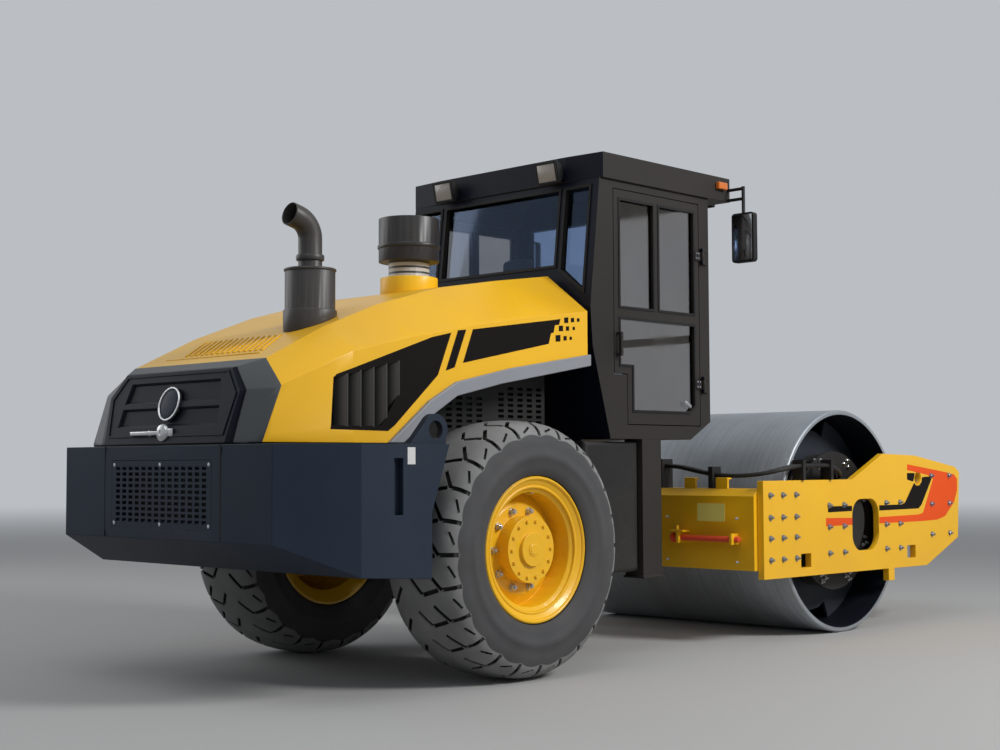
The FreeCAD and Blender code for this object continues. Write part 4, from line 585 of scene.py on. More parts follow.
def bare_metal(name, colour, roughness, grain=220.0, streak=(1.0, 1.0, 1.0), dust=0.15):
    """Bare or plated steel with a fine grain and a thin veil of dust."""
    made = bpy.data.materials.new(name)
    made.use_nodes = True
    tree = made.node_tree
    shader = tree.nodes["Principled BSDF"]
    place = centred_place(tree)
    stretch = tree.nodes.new("ShaderNodeMapping")
    stretch.inputs["Scale"].default_value = streak
    tree.links.new(place, stretch.inputs["Vector"])
    grains = noise(tree, grain, 3.0, stretch.outputs["Vector"])
    dirt = use_group(tree, road_dust, place, Amount=dust)
    shade = mixed(tree, spread(tree, grains, 0.3, 0.7), colour, tuple(0.78 * c for c in colour))
    tree.links.new(mixed(tree, dirt.outputs["Share"], shade, dust_colour), shader.inputs["Base Color"])
    tree.links.new(spread(tree, grains, 0.3, 0.7, roughness - 0.06, roughness + 0.08),
                   shader.inputs["Roughness"])
    shader.inputs["Metallic"].default_value = 1.0
    bump(tree, shader, grains, 0.12, 0.0005)
    return made


bright_steel = bare_metal("plated_steel", (0.58, 0.59, 0.60), 0.28)
dark_bolts = bare_metal("zinc_grey_bolts", (0.22, 0.24, 0.28), 0.42)
hub_face_y = tyre_low.y + 0.065
wheel_nut = turned([(0.0, 0.0), (0.023, 0.0), (0.023, -0.006), (0.019, -0.007), (0.019, -0.022),
                    (0.016, -0.026), (0.010, -0.026), (0.010, -0.036), (0.0, -0.038)],
                   (tyre_middle.x + 0.224, hub_face_y + 0.110, tyre_middle.z), 6)
wheel_nuts = repeated(wheel_nut, 10, tyre_middle, (0, 1, 0))
wheel_nuts = finished(wheel_nuts, "wheel_nuts_right", bright_steel, "bright_steel",
                      "rear_wheel_right")
mirrored_copy(wheel_nuts, "wheel_nuts_left", "rear_wheel_left")
cover_bolt = turned([(0.0, 0.0), (0.013, 0.0), (0.013, -0.002), (0.0105, -0.003), (0.0105, -0.010),
                     (0.009, -0.012), (0.0, -0.012)],
                    (tyre_middle.x + 0.160, hub_face_y + 0.020, tyre_middle.z), 6)
cover_bolts = repeated(cover_bolt, 14, tyre_middle, (0, 1, 0))
cover_bolts = finished(cover_bolts, "hub_cover_bolts_right", yellow_paint, "yellow_paint",
                       "rear_wheel_right")
mirrored_copy(cover_bolts, "hub_cover_bolts_left", "rear_wheel_left")
hub_plug = turned([(0.0, -0.004), (0.028, -0.004), (0.031, -0.001), (0.034, 0.0), (0.040, 0.0),
                   (0.040, 0.004), (0.0, 0.004)],
                  (tyre_middle.x, hub_face_y - 0.003, tyre_middle.z), 40)
hub_plug = finished(hub_plug, "hub_plug_right", yellow_paint, "yellow_paint", "rear_wheel_right")
mirrored_copy(hub_plug, "hub_plug_left", "rear_wheel_left")
rim_rings = joined([
    turned([(0.390, -0.230), (0.390, -0.237), (0.395, -0.246), (0.402, -0.250), (0.410, -0.248),
            (0.414, -0.242), (0.414, -0.230)], tyre_middle, 96),
    turned([(0.345, -0.205), (0.345, -0.218), (0.349, -0.225), (0.356, -0.227), (0.362, -0.225),
            (0.366, -0.219), (0.366, -0.205)], tyre_middle, 96)])
rim_rings = finished(rim_rings, "rim_lock_rings_right", yellow_paint, "yellow_paint",
                     "rear_wheel_right")
mirrored_copy(rim_rings, "rim_lock_rings_left", "rear_wheel_left")
valve = turned([(0.0, 0.0), (0.006, 0.0), (0.006, -0.030), (0.0045, -0.033), (0.0045, -0.052),
                (0.0, -0.053)], (tyre_middle.x, hub_face_y + 0.060, tyre_middle.z + 0.318), 12)
valve = finished(valve, "tyre_valve_right", bright_steel, "bright_steel", "rear_wheel_right")
mirrored_copy(valve, "tyre_valve_left", "rear_wheel_left")

# Side plates of the front frame
# Thick yellow plates either side of the drum, each bolted through to the beams and the drum's
# carrier by thirty washered bolts, with a black and a red stripe of film on the outside.


def copies_at(piece, places):
    """Repeat the mesh, made at the first place, at all the others, in one piece."""
    deselect()
    piece.select_set(True)
    bpy.context.view_layer.objects.active = piece
    bpy.ops.object.mode_set(mode="EDIT")
    bpy.ops.mesh.select_all(action="SELECT")
    for before, after in zip(places, places[1:]):
        way = Vector(after) - Vector(before)
        bpy.ops.mesh.duplicate_move(TRANSFORM_OT_translate={"value": way})
    bpy.ops.object.mode_set(mode="OBJECT")
    return piece


def sheet_piece(outline, way, thickness, corner=0.0):
    """Flat sheet from an outline of places, thickened along the way, with rounded corners."""
    points = [Vector(p) for p in outline]
    deselect()
    bpy.ops.mesh.primitive_plane_add(size=0.01, location=points[0])
    piece = bpy.context.object
    bpy.ops.object.mode_set(mode="EDIT")
    bpy.ops.mesh.merge(type="CENTER")
    for before, after in zip(points, points[1:] + points[:1]):
        bpy.ops.mesh.extrude_vertices_move(TRANSFORM_OT_translate={"value": after - before})
    bpy.ops.mesh.select_all(action="SELECT")
    bpy.ops.mesh.remove_doubles(threshold=0.00001)
    bpy.ops.mesh.edge_face_add()
    if corner:
        bpy.ops.mesh.bevel(offset=corner, segments=5, affect="VERTICES")
        bpy.ops.mesh.select_all(action="SELECT")
    if thickness:
        bpy.ops.mesh.extrude_region_move(TRANSFORM_OT_translate={"value": Vector(way) * thickness})
    bpy.ops.mesh.select_all(action="SELECT")
    bpy.ops.mesh.normals_make_consistent(inside=False)
    bpy.ops.object.mode_set(mode="OBJECT")
    bpy.ops.object.transform_apply(location=True, rotation=False, scale=False)
    return piece


plate_low, plate_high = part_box("side_plate_right")
plate_face_y = plate_low.y
drum_low, drum_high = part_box("drum_shell")
drum_middle = (drum_low + drum_high) / 2.0
# Bolts measured from the drum's axis: along the machine, then up
bolt_places = [(dx, dz) for dx in (-1.040, -0.890, -0.730) for dz in (0.200, 0.050, -0.090, -0.235)]
bolt_places += [(dx, dz) for dx in (-0.310, -0.115) for dz in (0.117, -0.035, -0.220)]
bolt_places += [(dx, dz) for dx in (0.470, 0.670) for dz in (0.120, -0.040, -0.220)]
bolt_places += [(dx, dz) for dx in (1.155, 1.437) for dz in (0.315, 0.097, -0.137)]
bolt_spots = [(drum_middle.x + dx, plate_face_y, drum_middle.z + dz) for dx, dz in bolt_places]
zinc_bolts = bare_metal("zinc_bolts", (0.34, 0.38, 0.45), 0.38, grain=90.0, dust=0.1)
plate_bolt = turned([(0.0, 0.002), (0.021, 0.002), (0.021, -0.004), (0.0, -0.004)],
                    bolt_spots[0], 20)
bolt_head = turned([(0.0, -0.004), (0.0155, -0.004), (0.0155, -0.015), (0.0135, -0.017),
                    (0.0085, -0.017), (0.0085, -0.030), (0.0, -0.032)], bolt_spots[0], 6)
plate_bolts = copies_at(joined([plate_bolt, bolt_head]), bolt_spots)
plate_bolts = finished(plate_bolts, "side_plate_bolts_right", zinc_bolts, "bright_steel",
                       "front_frame")
mirrored_copy(plate_bolts, "side_plate_bolts_left", "front_frame")


def stripe_film(name, colour):
    """Film printed in one colour, a little duller than the paint under it."""
    return sprayed_paint(name, colour, tuple(0.85 * c for c in colour), 0.46, dust=0.03, peel=0.05,
                         gloss=0.03)


black_film = stripe_film("black_film", (0.0115, 0.0095, 0.009))
red_film = stripe_film("red_film", (0.80, 0.095, 0.020))
black_shapes = [[(-0.323, 0.110), (-0.325, 0.068), (-0.004, 0.070), (-0.004, 0.107)],
                [(0.374, 0.103), (0.374, 0.064), (0.955, 0.066), (1.003, 0.094), (1.165, 0.289),
                 (1.144, 0.309), (1.019, 0.305), (1.010, 0.270), (0.975, 0.242), (0.930, 0.240),
                 (0.893, 0.262), (0.753, 0.116), (0.708, 0.102)],
                [(0.790, 0.289), (0.790, 0.338), (0.905, 0.337), (0.897, 0.300), (0.880, 0.272)]]
red_shapes = [[(-0.352, 0.029), (-0.354, -0.030), (-0.004, -0.029), (-0.004, 0.021)],
              [(0.374, 0.016), (0.374, -0.031), (1.021, -0.032), (1.241, -0.028), (1.370, -0.004),
               (1.521, 0.103), (1.574, 0.197), (1.578, 0.285), (1.530, 0.322), (1.384, 0.342),
               (0.794, 0.405), (0.792, 0.361), (1.113, 0.320), (1.190, 0.288), (1.024, 0.033),
               (0.961, 0.020)]]
for film_name, shapes, film, film_slot in (
        ("black_stripe", black_shapes, black_film, "chassis_paint"),
        ("red_stripe", red_shapes, red_film, "red_paint")):
    sheets = [sheet_piece([(drum_middle.x + dx, plate_face_y, drum_middle.z + dz) for dx, dz in shape],
                          (0, -1, 0), 0.0009, 0.004) for shape in shapes]
    film_piece = finished(joined(sheets), film_name + "_right", film, film_slot, "front_frame")
    mirrored_copy(film_piece, film_name + "_left", "front_frame")

# Engine hood
# Moulded hood in the machine's yellow. Black film surrounds the side louvres and runs forward in
# a stripe, a stepped block and rows of shrinking squares; the top has a pad of slanted ribs.

axle_x = tyre_middle.x
hood_low, hood_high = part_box("hood_shell")
hood_side_y = hood_low.y
# Outlines on the hood's side: along the machine from the rear axle, then up from the ground
louvre_surround = [(-1.244, 1.404), (-0.852, 1.399), (-0.802, 1.432), (-0.480, 1.717),
                   (-0.376, 1.960), (-0.522, 1.928), (-1.207, 1.694), (-1.226, 1.674),
                   (-0.775, 1.780), (-0.775, 1.603), (-0.904, 1.425), (-1.241, 1.425)]
side_stripe = [(-0.323, 1.977), (-0.257, 1.985), (-0.350, 1.765), (-0.420, 1.743)]
long_block = [(-0.203, 1.990), (0.550, 2.098), (0.536, 2.062), (0.499, 2.058), (0.487, 2.012),
              (0.462, 2.005), (0.442, 1.941), (-0.284, 1.793)]
# Squares: along and up of each middle, and half its side
square_rows = [(0.602, 2.094, 0.019), (0.660, 2.099, 0.015), (0.713, 2.103, 0.012),
               (0.553, 2.041, 0.019), (0.613, 2.044, 0.015), (0.671, 2.048, 0.011),
               (0.526, 1.979, 0.022), (0.590, 1.983, 0.015), (0.642, 1.986, 0.011)]


def hood_film(outline):
    return sheet_piece([(axle_x + x, hood_side_y + 0.0004, z) for x, z in outline], (0, -1, 0), 0.0012)


surround = hood_film(louvre_surround)
bpy.ops.object.mode_set(mode="EDIT")
bpy.ops.mesh.select_all(action="SELECT")
taper_x = axle_x - 1.10
bpy.ops.mesh.bisect(plane_co=(taper_x, 0, 0), plane_no=(1, 0, 0))
bpy.ops.object.mode_set(mode="OBJECT")


def follow_taper(piece):
    """Draw a side piece inwards behind the bend, where the hood narrows to its tail."""
    for vertex in piece.data.vertices:
        behind = taper_x - vertex.co.x
        if behind > 0.0:
            vertex.co.y += behind * (0.0868 - 0.0551 * (vertex.co.z - 1.405))


follow_taper(surround)
squares = [hood_film([(x - s, z - s), (x + s, z - s * 0.8), (x + s, z + s), (x - s, z + s * 0.8)])
           for x, z, s in square_rows]
side_film = joined([surround, hood_film(side_stripe), hood_film(long_block)] + squares)
side_film = finished(side_film, "hood_side_film_right", black_film, "chassis_paint", "engine_hood")
mirrored_copy(side_film, "hood_side_film_left", "engine_hood")


def block(low, high, round_edge=0.002, segments=2):
    """Block between two corners with rounded edges."""
    low, high = Vector(low), Vector(high)
    deselect()
    bpy.ops.mesh.primitive_cube_add(size=1.0, location=(low + high) / 2.0)
    piece = bpy.context.object
    piece.scale = high - low
    bpy.ops.object.transform_apply(location=True, rotation=False, scale=True)
    bpy.ops.object.mode_set(mode="EDIT")
    bpy.ops.mesh.select_all(action="SELECT")
    bpy.ops.mesh.bevel(offset=round_edge, segments=segments, affect="EDGES")
    bpy.ops.object.mode_set(mode="OBJECT")
    return piece


def turned_about(piece, angle, axis, centre):
    """Turn a piece's mesh about an axis through a centre, anticlockwise seen from the axis' tip."""
    piece.data.transform(Matrix.Translation(centre) @ Matrix.Rotation(angle, 4, axis) @
                         Matrix.Translation(-Vector(centre)))
    return piece


# The ribs lie on the hood's rear slope, which climbs 190 mm in 396 mm
slope = math.atan2(0.190, 0.396)
slope_foot = Vector((axle_x - 1.496, 0.0, hood_low.z + 0.443))
rib_pieces = []
for i in range(15):
    y = 0.33 - i * 0.050
    rib = block((0.118, y - 0.009, -0.002), (0.372, y + 0.009, 0.006), 0.003)
    turned_about(rib, math.radians(24.0), "Z", (0.245, y, 0.0))
    rib_pieces.append(rib)
rib_pieces.append(block((0.085, -0.46, -0.002), (0.094, 0.42, 0.004), 0.002))
hood_ribs = joined(rib_pieces)
turned_about(hood_ribs, -slope, "Y", (0.0, 0.0, 0.0))
hood_ribs.data.transform(Matrix.Translation(slope_foot))
finished(hood_ribs, "hood_top_ribs", yellow_paint, "yellow_paint", "engine_hood")

# Tail cap of the hood
# Dark cap with a raised frame round its inner panel, a blank round badge in a bright ring, and
# the lock's chromed lever.

cap_lean = 0.252


def cap_face_x(z):
    return axle_x - 1.625 - cap_lean * (1.725 - z)


# Grey surround, and a blue-black leaning panel whose two recessed bands are darker still with painted shade
cap_paint = sprayed_paint("cap_grey", (0.105, 0.115, 0.120), (0.090, 0.098, 0.103), 0.42, dust=0.04,
                          gloss=0.08)
tree = cap_paint.node_tree
cap_place = place_parts(tree)
panel_depth = math_node(tree, "SUBTRACT", cap_place["X"],
                        math_node(tree, "MULTIPLY", cap_place["Z"], cap_lean))
panel_start = cap_face_x(0.0)
over_painted(cap_paint, spread(tree, panel_depth, panel_start + 0.015, panel_start + 0.017, 1.0, 0.0),
             (0.0070, 0.0105, 0.0180))
# Painted shade in the panel's recessed bands, about 9 to 16 mm behind its face
recess_band_shade = math_node(
    tree, "MULTIPLY", spread(tree, panel_depth, panel_start + 0.008, panel_start + 0.010),
    spread(tree, panel_depth, panel_start + 0.015, panel_start + 0.017, 1.0, 0.0))
over_painted(cap_paint, recess_band_shade, (0.0025, 0.0035, 0.0080))
finish_node("hood_cap", cap_paint, 0.005)


def rim_piece(outline, way, thickness, width):
    """Flat frame of one width inside an outline, thickened along the way."""
    piece = sheet_piece(outline, way, 0.0)
    bpy.ops.object.mode_set(mode="EDIT")
    bpy.ops.mesh.select_all(action="SELECT")
    bpy.ops.mesh.remove_doubles(threshold=0.00001)
    bpy.ops.mesh.select_all(action="SELECT")
    bpy.ops.mesh.inset(thickness=width, use_even_offset=True)
    bpy.ops.mesh.delete(type="FACE")
    bpy.ops.mesh.select_all(action="SELECT")
    bpy.ops.mesh.extrude_region_move(TRANSFORM_OT_translate={"value": Vector(way) * thickness})
    bpy.ops.mesh.select_all(action="SELECT")
    bpy.ops.mesh.normals_make_consistent(inside=False)
    bpy.ops.object.mode_set(mode="OBJECT")
    return piece


# Dark lining of the vents, which follows the hood's side where it tapers to the tail
vent = [(-1.227, 1.679), (-1.241, 1.420), (-0.901, 1.420), (-0.770, 1.600), (-0.770, 1.786)]
lining = rim_piece([(axle_x + x, hood_side_y + 0.0002, z) for x, z in vent], (0, 1, 0), 0.026, 0.004)
follow_taper(lining)
lining = finished(lining, "vent_lining_right", black_film, "dark_paint", "engine_hood")
mirrored_copy(lining, "vent_lining_left", "engine_hood")
# Rubber seal under the hood's edge, on the counterweight
seal_outer = [(-2.450, 0.846), (-2.722, 0.846), (-3.2755, 0.796), (-3.3415, 0.567)]
seal_inner = [(-3.318, 0.550), (-3.262, 0.778), (-2.720, 0.826), (-2.450, 0.826)]
seal_outline = ([(x, -y) for x, y in seal_outer] + [(x, y) for x, y in reversed(seal_outer)] +
                [(x, y) for x, y in reversed(seal_inner)] + [(x, -y) for x, y in seal_inner])
hood_seal = sheet_piece([(x, y, hood_low.z - 0.0095) for x, y in seal_outline], (0, 0, 1), 0.009)
finished(hood_seal, "hood_edge_seal", black_film, "hose_rubber", "engine_hood")

cap_out = Vector((-1.0, 0.0, cap_lean)).normalized()
panel_outline = [(0.475, 1.716), (0.585, 1.590), (0.545, 1.372), (-0.545, 1.372), (-0.585, 1.590),
                 (-0.475, 1.716)]
cap_frame = rim_piece([(cap_face_x(z) + 0.001, y, z) for y, z in panel_outline], cap_out, 0.006, 0.010)
finished(cap_frame, "cap_panel_frame", cap_paint, "dark_paint", "engine_hood")
badge_place = Vector((cap_face_x(1.549), 0.0, 1.549))
badge_turn = math.atan2(cap_lean, 1.0)
badge = turned([(0.0, 0.004), (0.086, 0.004), (0.086, -0.004), (0.078, -0.008), (0.055, -0.011),
                (0.0, -0.013)], (badge_place.x, 0.0, badge_place.z), 48, "X")
turned_about(badge, badge_turn, "Y", badge_place)
finished(badge, "blank_badge", slate_paint, "dark_paint", "engine_hood")
badge_ring = turned([(0.084, 0.004), (0.096, 0.004), (0.096, -0.009), (0.093, -0.013),
                     (0.087, -0.013), (0.084, -0.009)], badge_place, 56, "X")
turned_about(badge_ring, badge_turn, "Y", badge_place)
finished(badge_ring, "badge_ring", bright_steel, "bright_steel", "engine_hood")
latch_low, latch_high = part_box("hood_latch")
lever_z = hood_low.z + 0.057
lever = block((latch_low.x + 0.002, 0.022, lever_z - 0.011), (latch_low.x + 0.018, 0.300, lever_z + 0.011),
              0.0045, 4)
lock_cap = turned([(0.0, 0.030), (0.050, 0.030), (0.050, 0.016), (0.044, 0.006), (0.030, 0.001),
                   (0.016, 0.0), (0.013, 0.004), (0.0, 0.004)], (latch_low.x, 0.0, lever_z), 40, "X")
lock_ear = block((latch_low.x + 0.012, -0.092, lever_z - 0.020), (latch_low.x + 0.030, -0.020, lever_z + 0.024),
                 0.007, 4)
lever_foot = block((latch_low.x + 0.010, 0.106, lever_z - 0.014), (latch_high.x, 0.134, lever_z + 0.014),
                   0.003)
latch = finished(joined([lever, lock_cap, lock_ear, lever_foot]), "cap_latch", bright_steel, "bright_steel",
                 "engine_hood")
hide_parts("hood_latch")

# Exhaust and air pre-cleaner
# The silencer is heat-darkened steel with a clamp band; the pre-cleaner is a black bowl on a pale
# neck with dark bands, set on a round yellow boss.

hot_steel = sprayed_paint("heat_dark_steel", (0.030, 0.029, 0.030), (0.044, 0.038, 0.034), 0.42,
                          dust=0.25)
finish_node("exhaust_stack", hot_steel, 0.003)
can_x = axle_x - 0.990
pipe_foot_z = hood_low.z + 0.675 + 0.305
clamp_band = turned([(0.0675, -0.016), (0.076, -0.016), (0.079, -0.010), (0.079, 0.010),
                     (0.076, 0.016), (0.0675, 0.016)], (can_x, -0.350, pipe_foot_z + 0.06), 48, "Z")
can_rib = turned([(0.1405, -0.008), (0.146, -0.006), (0.148, 0.0), (0.146, 0.006),
                  (0.1405, 0.008)], (can_x, -0.350, pipe_foot_z - 0.010), 56, "Z")
finished(joined([clamp_band, can_rib]), "exhaust_bands", hot_steel, "chassis_paint", "engine_hood")


def layered_bowl(name, centre_x, boss_top_z, neck_top_z):
    """Finish of the pre-cleaner by height: yellow boss, pale banded neck, black bowl."""
    made = sprayed_paint(name, (0.028, 0.026, 0.025), (0.018, 0.017, 0.017), 0.36, dust=0.2)
    tree = made.node_tree
    shader = tree.nodes["Principled BSDF"]
    bowl = shader.inputs["Base Color"].links[0].from_socket
    parts = tree.nodes.new("ShaderNodeSeparateXYZ")
    tree.links.new(centred_place(tree), parts.inputs[0])
    height = parts.outputs["Z"]
    bands = math_node(tree, "GREATER_THAN", math_node(
        tree, "FRACT", math_node(tree, "MULTIPLY", height, 1.0 / 0.034)), 0.62)
    neck = mixed(tree, bands, (0.52, 0.50, 0.47), (0.05, 0.048, 0.046))
    upper = mixed(tree, math_node(tree, "GREATER_THAN", height, neck_top_z), neck, bowl)
    whole = mixed(tree, math_node(tree, "GREATER_THAN", height, boss_top_z), (0.86, 0.50, 0.012), upper)
    tree.links.new(whole, shader.inputs["Base Color"])
    return made


bowl_low, bowl_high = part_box("pre_cleaner")
bowl_middle = (bowl_low + bowl_high) / 2.0
finish_node("pre_cleaner", layered_bowl("pre_cleaner_layers", bowl_middle.x, bowl_high.z - 0.371,
                                        bowl_high.z - 0.273), 0.004, 3)

# Cab glass and its rubber
# Lightly tinted safety glass set in black rubber: three panes in the leaning rear wall, two in
# front, and three in each door. Glass is 8 mm thick and shows a green-blue edge.


def tinted_glass(name, tint, mirrored_tint, dusty):
    """Tinted glass that mirrors a little, with a thin uneven film of dust on it."""
    made = bpy.data.materials.new(name)
    made.use_nodes = True
    tree = made.node_tree
    shader = tree.nodes["Principled BSDF"]
    place = centred_place(tree)
    film = spread(tree, noise(tree, 2.2, 6.0, place), 0.35, 0.8, 0.02, dusty)
    deeper = tuple(0.9 * c for c in tint)
    cloud = mixed(tree, spread(tree, noise(tree, 1.3, 3.0, place), 0.3, 0.7), tint, deeper)
    tree.links.new(cloud, shader.inputs["Base Color"])
    tree.links.new(film, shader.inputs["Roughness"])
    shader.inputs["Transmission Weight"].default_value = 1.0
    shader.inputs["Metallic"].default_value = 0.0
    shader.inputs["IOR"].default_value = 1.45
    shader.inputs["Specular Tint"].default_value = (*mirrored_tint, 1.0)
    return made


window_glass = tinted_glass("window_glass", (0.46, 0.56, 0.74), (0.45, 0.65, 1.0), 0.06)
door_glass = tinted_glass("door_glass", (0.60, 0.49, 0.38), (0.95, 0.88, 0.78), 0.22)
finish_node("cab_glass", window_glass, 0.0)
finish_node("door_right_glass", door_glass, 0.0)
finish_node("door_left_glass", door_glass, 0.0)


def moulded_plastic(name, colour, roughness, grain=520.0, relief=0.18):
    """Moulded plastic or rubber with a fine pebbled skin."""
    made = bpy.data.materials.new(name)
    made.use_nodes = True
    tree = made.node_tree
    shader = tree.nodes["Principled BSDF"]
    place = centred_place(tree)
    pebbles = noise(tree, grain, 2.0, place)
    dirt = use_group(tree, road_dust, place, Amount=0.15)
    shade = mixed(tree, spread(tree, noise(tree, 3.0, 4.0, place), 0.3, 0.7), colour,
                  tuple(0.8 * c for c in colour))
    tree.links.new(mixed(tree, dirt.outputs["Share"], shade, dust_colour), shader.inputs["Base Color"])
    tree.links.new(spread(tree, pebbles, 0.2, 0.8, roughness - 0.05, roughness + 0.08),
                   shader.inputs["Roughness"])
    shader.inputs["Specular IOR Level"].default_value = 0.15
    bump(tree, shader, pebbles, relief, 0.0005)
    return made


seal_rubber = moulded_plastic("seal_rubber", (0.014, 0.014, 0.015), 0.55)
dark_plastic = moulded_plastic("dark_plastic", (0.015, 0.015, 0.016), 0.48)
door_low, door_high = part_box("door_right_frame")
door_y = -0.85
door_panes = [[(1.104, 2.205), (1.104, 2.915), (1.472, 2.915), (1.472, 2.205)],
              [(1.506, 2.205), (1.506, 2.915), (1.906, 2.915), (1.906, 2.205)],
              [(1.104, 1.834), (1.104, 2.150), (1.906, 2.150), (1.906, 1.596), (1.840, 1.545),
               (1.234, 1.545), (1.234, 1.834)]]
door_seals = joined([rim_piece([(axle_x + x, door_y + 0.001, z) for x, z in pane], (0, -1, 0), 0.006, 0.016)
                     for pane in door_panes])
door_seals = finished(door_seals, "door_window_seals_right", seal_rubber, "hose_rubber",
                      "cab_door_right")
mirrored_copy(door_seals, "door_window_seals_left", "cab_door_left")
strap = block((axle_x + 1.775, door_y - 0.009, 1.598), (axle_x + 1.850, door_y - 0.001, 1.622), 0.003)
turned_about(strap, math.radians(28.0), "Y", (axle_x + 1.812, door_y, 1.610))
strap = finished(strap, "door_glass_strap_right", bright_steel, "bright_steel", "cab_door_right")
mirrored_copy(strap, "door_glass_strap_left", "cab_door_left")
hinge_z = (1.745, 2.614)
hinge_screws = turned([(0.0, 0.0), (0.008, 0.0), (0.008, -0.004), (0.005, -0.006), (0.0, -0.006)],
                      (axle_x + 1.915, door_y - 0.010, hinge_z[0] - 0.016), 6)
hinge_screws = copies_at(hinge_screws, [(x, 0.0, z + dz) for z in hinge_z for dz in (-0.016, 0.016)
                                        for x in (1.915, 1.940)])
hinge_screws = finished(hinge_screws, "door_hinge_screws_right", dark_bolts, "bright_steel",
                        "cab_door_right")
mirrored_copy(hinge_screws, "door_hinge_screws_left", "cab_door_left")


def rear_wall_x(z):
    """Outside of the cab's leaning rear wall."""
    return axle_x + 0.830 + (z - 2.200) * 0.1159


rear_out = Vector((-1.0, 0.0, 0.1159)).normalized()
rear_panes = [[(0.537, 2.468), (0.537, 2.987), (-0.537, 2.987), (-0.537, 2.468)]]
rear_panes += [[(s * 0.563, 2.443), (s * 0.563, 2.987), (s * 0.792, 2.987), (s * 0.792, 2.283)]
               for s in (-1.0, 1.0)]
rear_seals = joined([rim_piece([(rear_wall_x(z) + 0.001, y, z) for y, z in pane], rear_out, 0.007, 0.018)
                     for pane in rear_panes])
finished(rear_seals, "rear_window_seals", seal_rubber, "hose_rubber", "rear_machine")

# Roof fittings
# Square work lamps with ribbed lenses in dark cases, amber lamps at the roof's front sides,
# two lifting rings, and the mirrors' glass.

finish_node("work_lights", dark_plastic, 0.004)
finish_node("mirrors", dark_plastic, 0.004, 3)


def lens_plastic(name, colour, glow):
    """Clear moulded lens over a reflector, with fine upright ribs."""
    made = bpy.data.materials.new(name)
    made.use_nodes = True
    tree = made.node_tree
    shader = tree.nodes["Principled BSDF"]
    place = centred_place(tree)
    ribs = tree.nodes.new("ShaderNodeTexWave")
    ribs.bands_direction = "Y"
    ribs.inputs["Scale"].default_value = 26.0
    tree.links.new(place, ribs.inputs["Vector"])
    tree.links.new(mixed(tree, ribs.outputs["Fac"], colour, tuple(0.6 * c for c in colour)),
                   shader.inputs["Base Color"])
    shader.inputs["Roughness"].default_value = 0.12
    shader.inputs["Coat Weight"].default_value = glow
    bump(tree, shader, ribs.outputs["Fac"], 0.3, 0.002)
    return made


clear_lens = lens_plastic("clear_lens", (0.36, 0.335, 0.31), 0.6)
amber_lens = lens_plastic("amber_lens", (0.85, 0.20, 0.015), 0.5)
finish_node("beacon_lamps", amber_lens, 0.008, 3)
roof_low, roof_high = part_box("cab_roof")
# Lamps: face middle along the machine, across, up, and whether it faces the rear, and its tilt
lenses = []
bezels = []
for face_x, face_y, tilt, sense in ((roof_low.x - 0.0735, 0.480, 12.0, -1.0),
                                    (roof_high.x + 0.0740, 0.600, 8.0, 1.0)):
    for side in (-1.0, 1.0):
        drop = 0.0108 if sense < 0 else 0.0072
        middle = Vector((face_x, side * face_y, roof_low.z + 0.0745 - drop))
        glass = block(middle - Vector((0.006, 0.084, 0.064)), middle + Vector((0.006, 0.084, 0.064)),
                      0.005, 3)
        turned_about(glass, math.radians(tilt) * sense, "Y", middle)
        lenses.append(glass)
        edge = [(middle.x + sense * 0.003, middle.y + dy, middle.z + dz)
                for dy, dz in ((-0.088, -0.068), (0.088, -0.068), (0.088, 0.068), (-0.088, 0.068))]
        bezel = rim_piece(edge, (sense, 0.0, 0.0), 0.006, 0.012)
        turned_about(bezel, math.radians(tilt) * sense, "Y", middle)
        bezels.append(bezel)
finished(joined(lenses), "work_light_lenses", clear_lens, "lamp_lens", "rear_machine")
finished(joined(bezels), "work_light_bezels", dark_plastic, "dark_paint", "rear_machine")
mirror_low, mirror_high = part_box("mirrors")
mirror_metal = bare_metal("mirror_silver", (0.75, 0.77, 0.80), 0.12, grain=40.0)
mirror_face = block((mirror_high.x - 0.0462, mirror_low.y + 0.014,
                     mirror_low.z + 0.014),
                    (mirror_high.x - 0.043, mirror_low.y + 0.166, mirror_low.z + 0.326), 0.001, 2)
mirror_face = finished(mirror_face, "mirror_glass_right", mirror_metal, "bright_steel", "rear_machine")
mirrored_copy(mirror_face, "mirror_glass_left", "rear_machine")
rings = []
for ring_x, ring_y in ((axle_x + 1.05, -0.70), (axle_x + 2.10, -0.70), (axle_x + 1.05, 0.70),
                       (axle_x + 2.10, 0.70)):
    ring = turned([(0.017, -0.005), (0.021, -0.008), (0.027, -0.005), (0.027, 0.005),
                   (0.021, 0.008), (0.017, 0.005)], (ring_x, ring_y, roof_high.z - 0.0275), 28, "Y")
    rings.append(ring)
finished(joined(rings), "roof_lifting_rings", dark_bolts, "bright_steel", "rear_machine")

# Drum and its drive
# Rolled steel shell worn bright along its travel, with dark painted end discs. Each carrier disc
# is bolted to its rubber buffers, and each end disc has a ring of bolts round its hub.


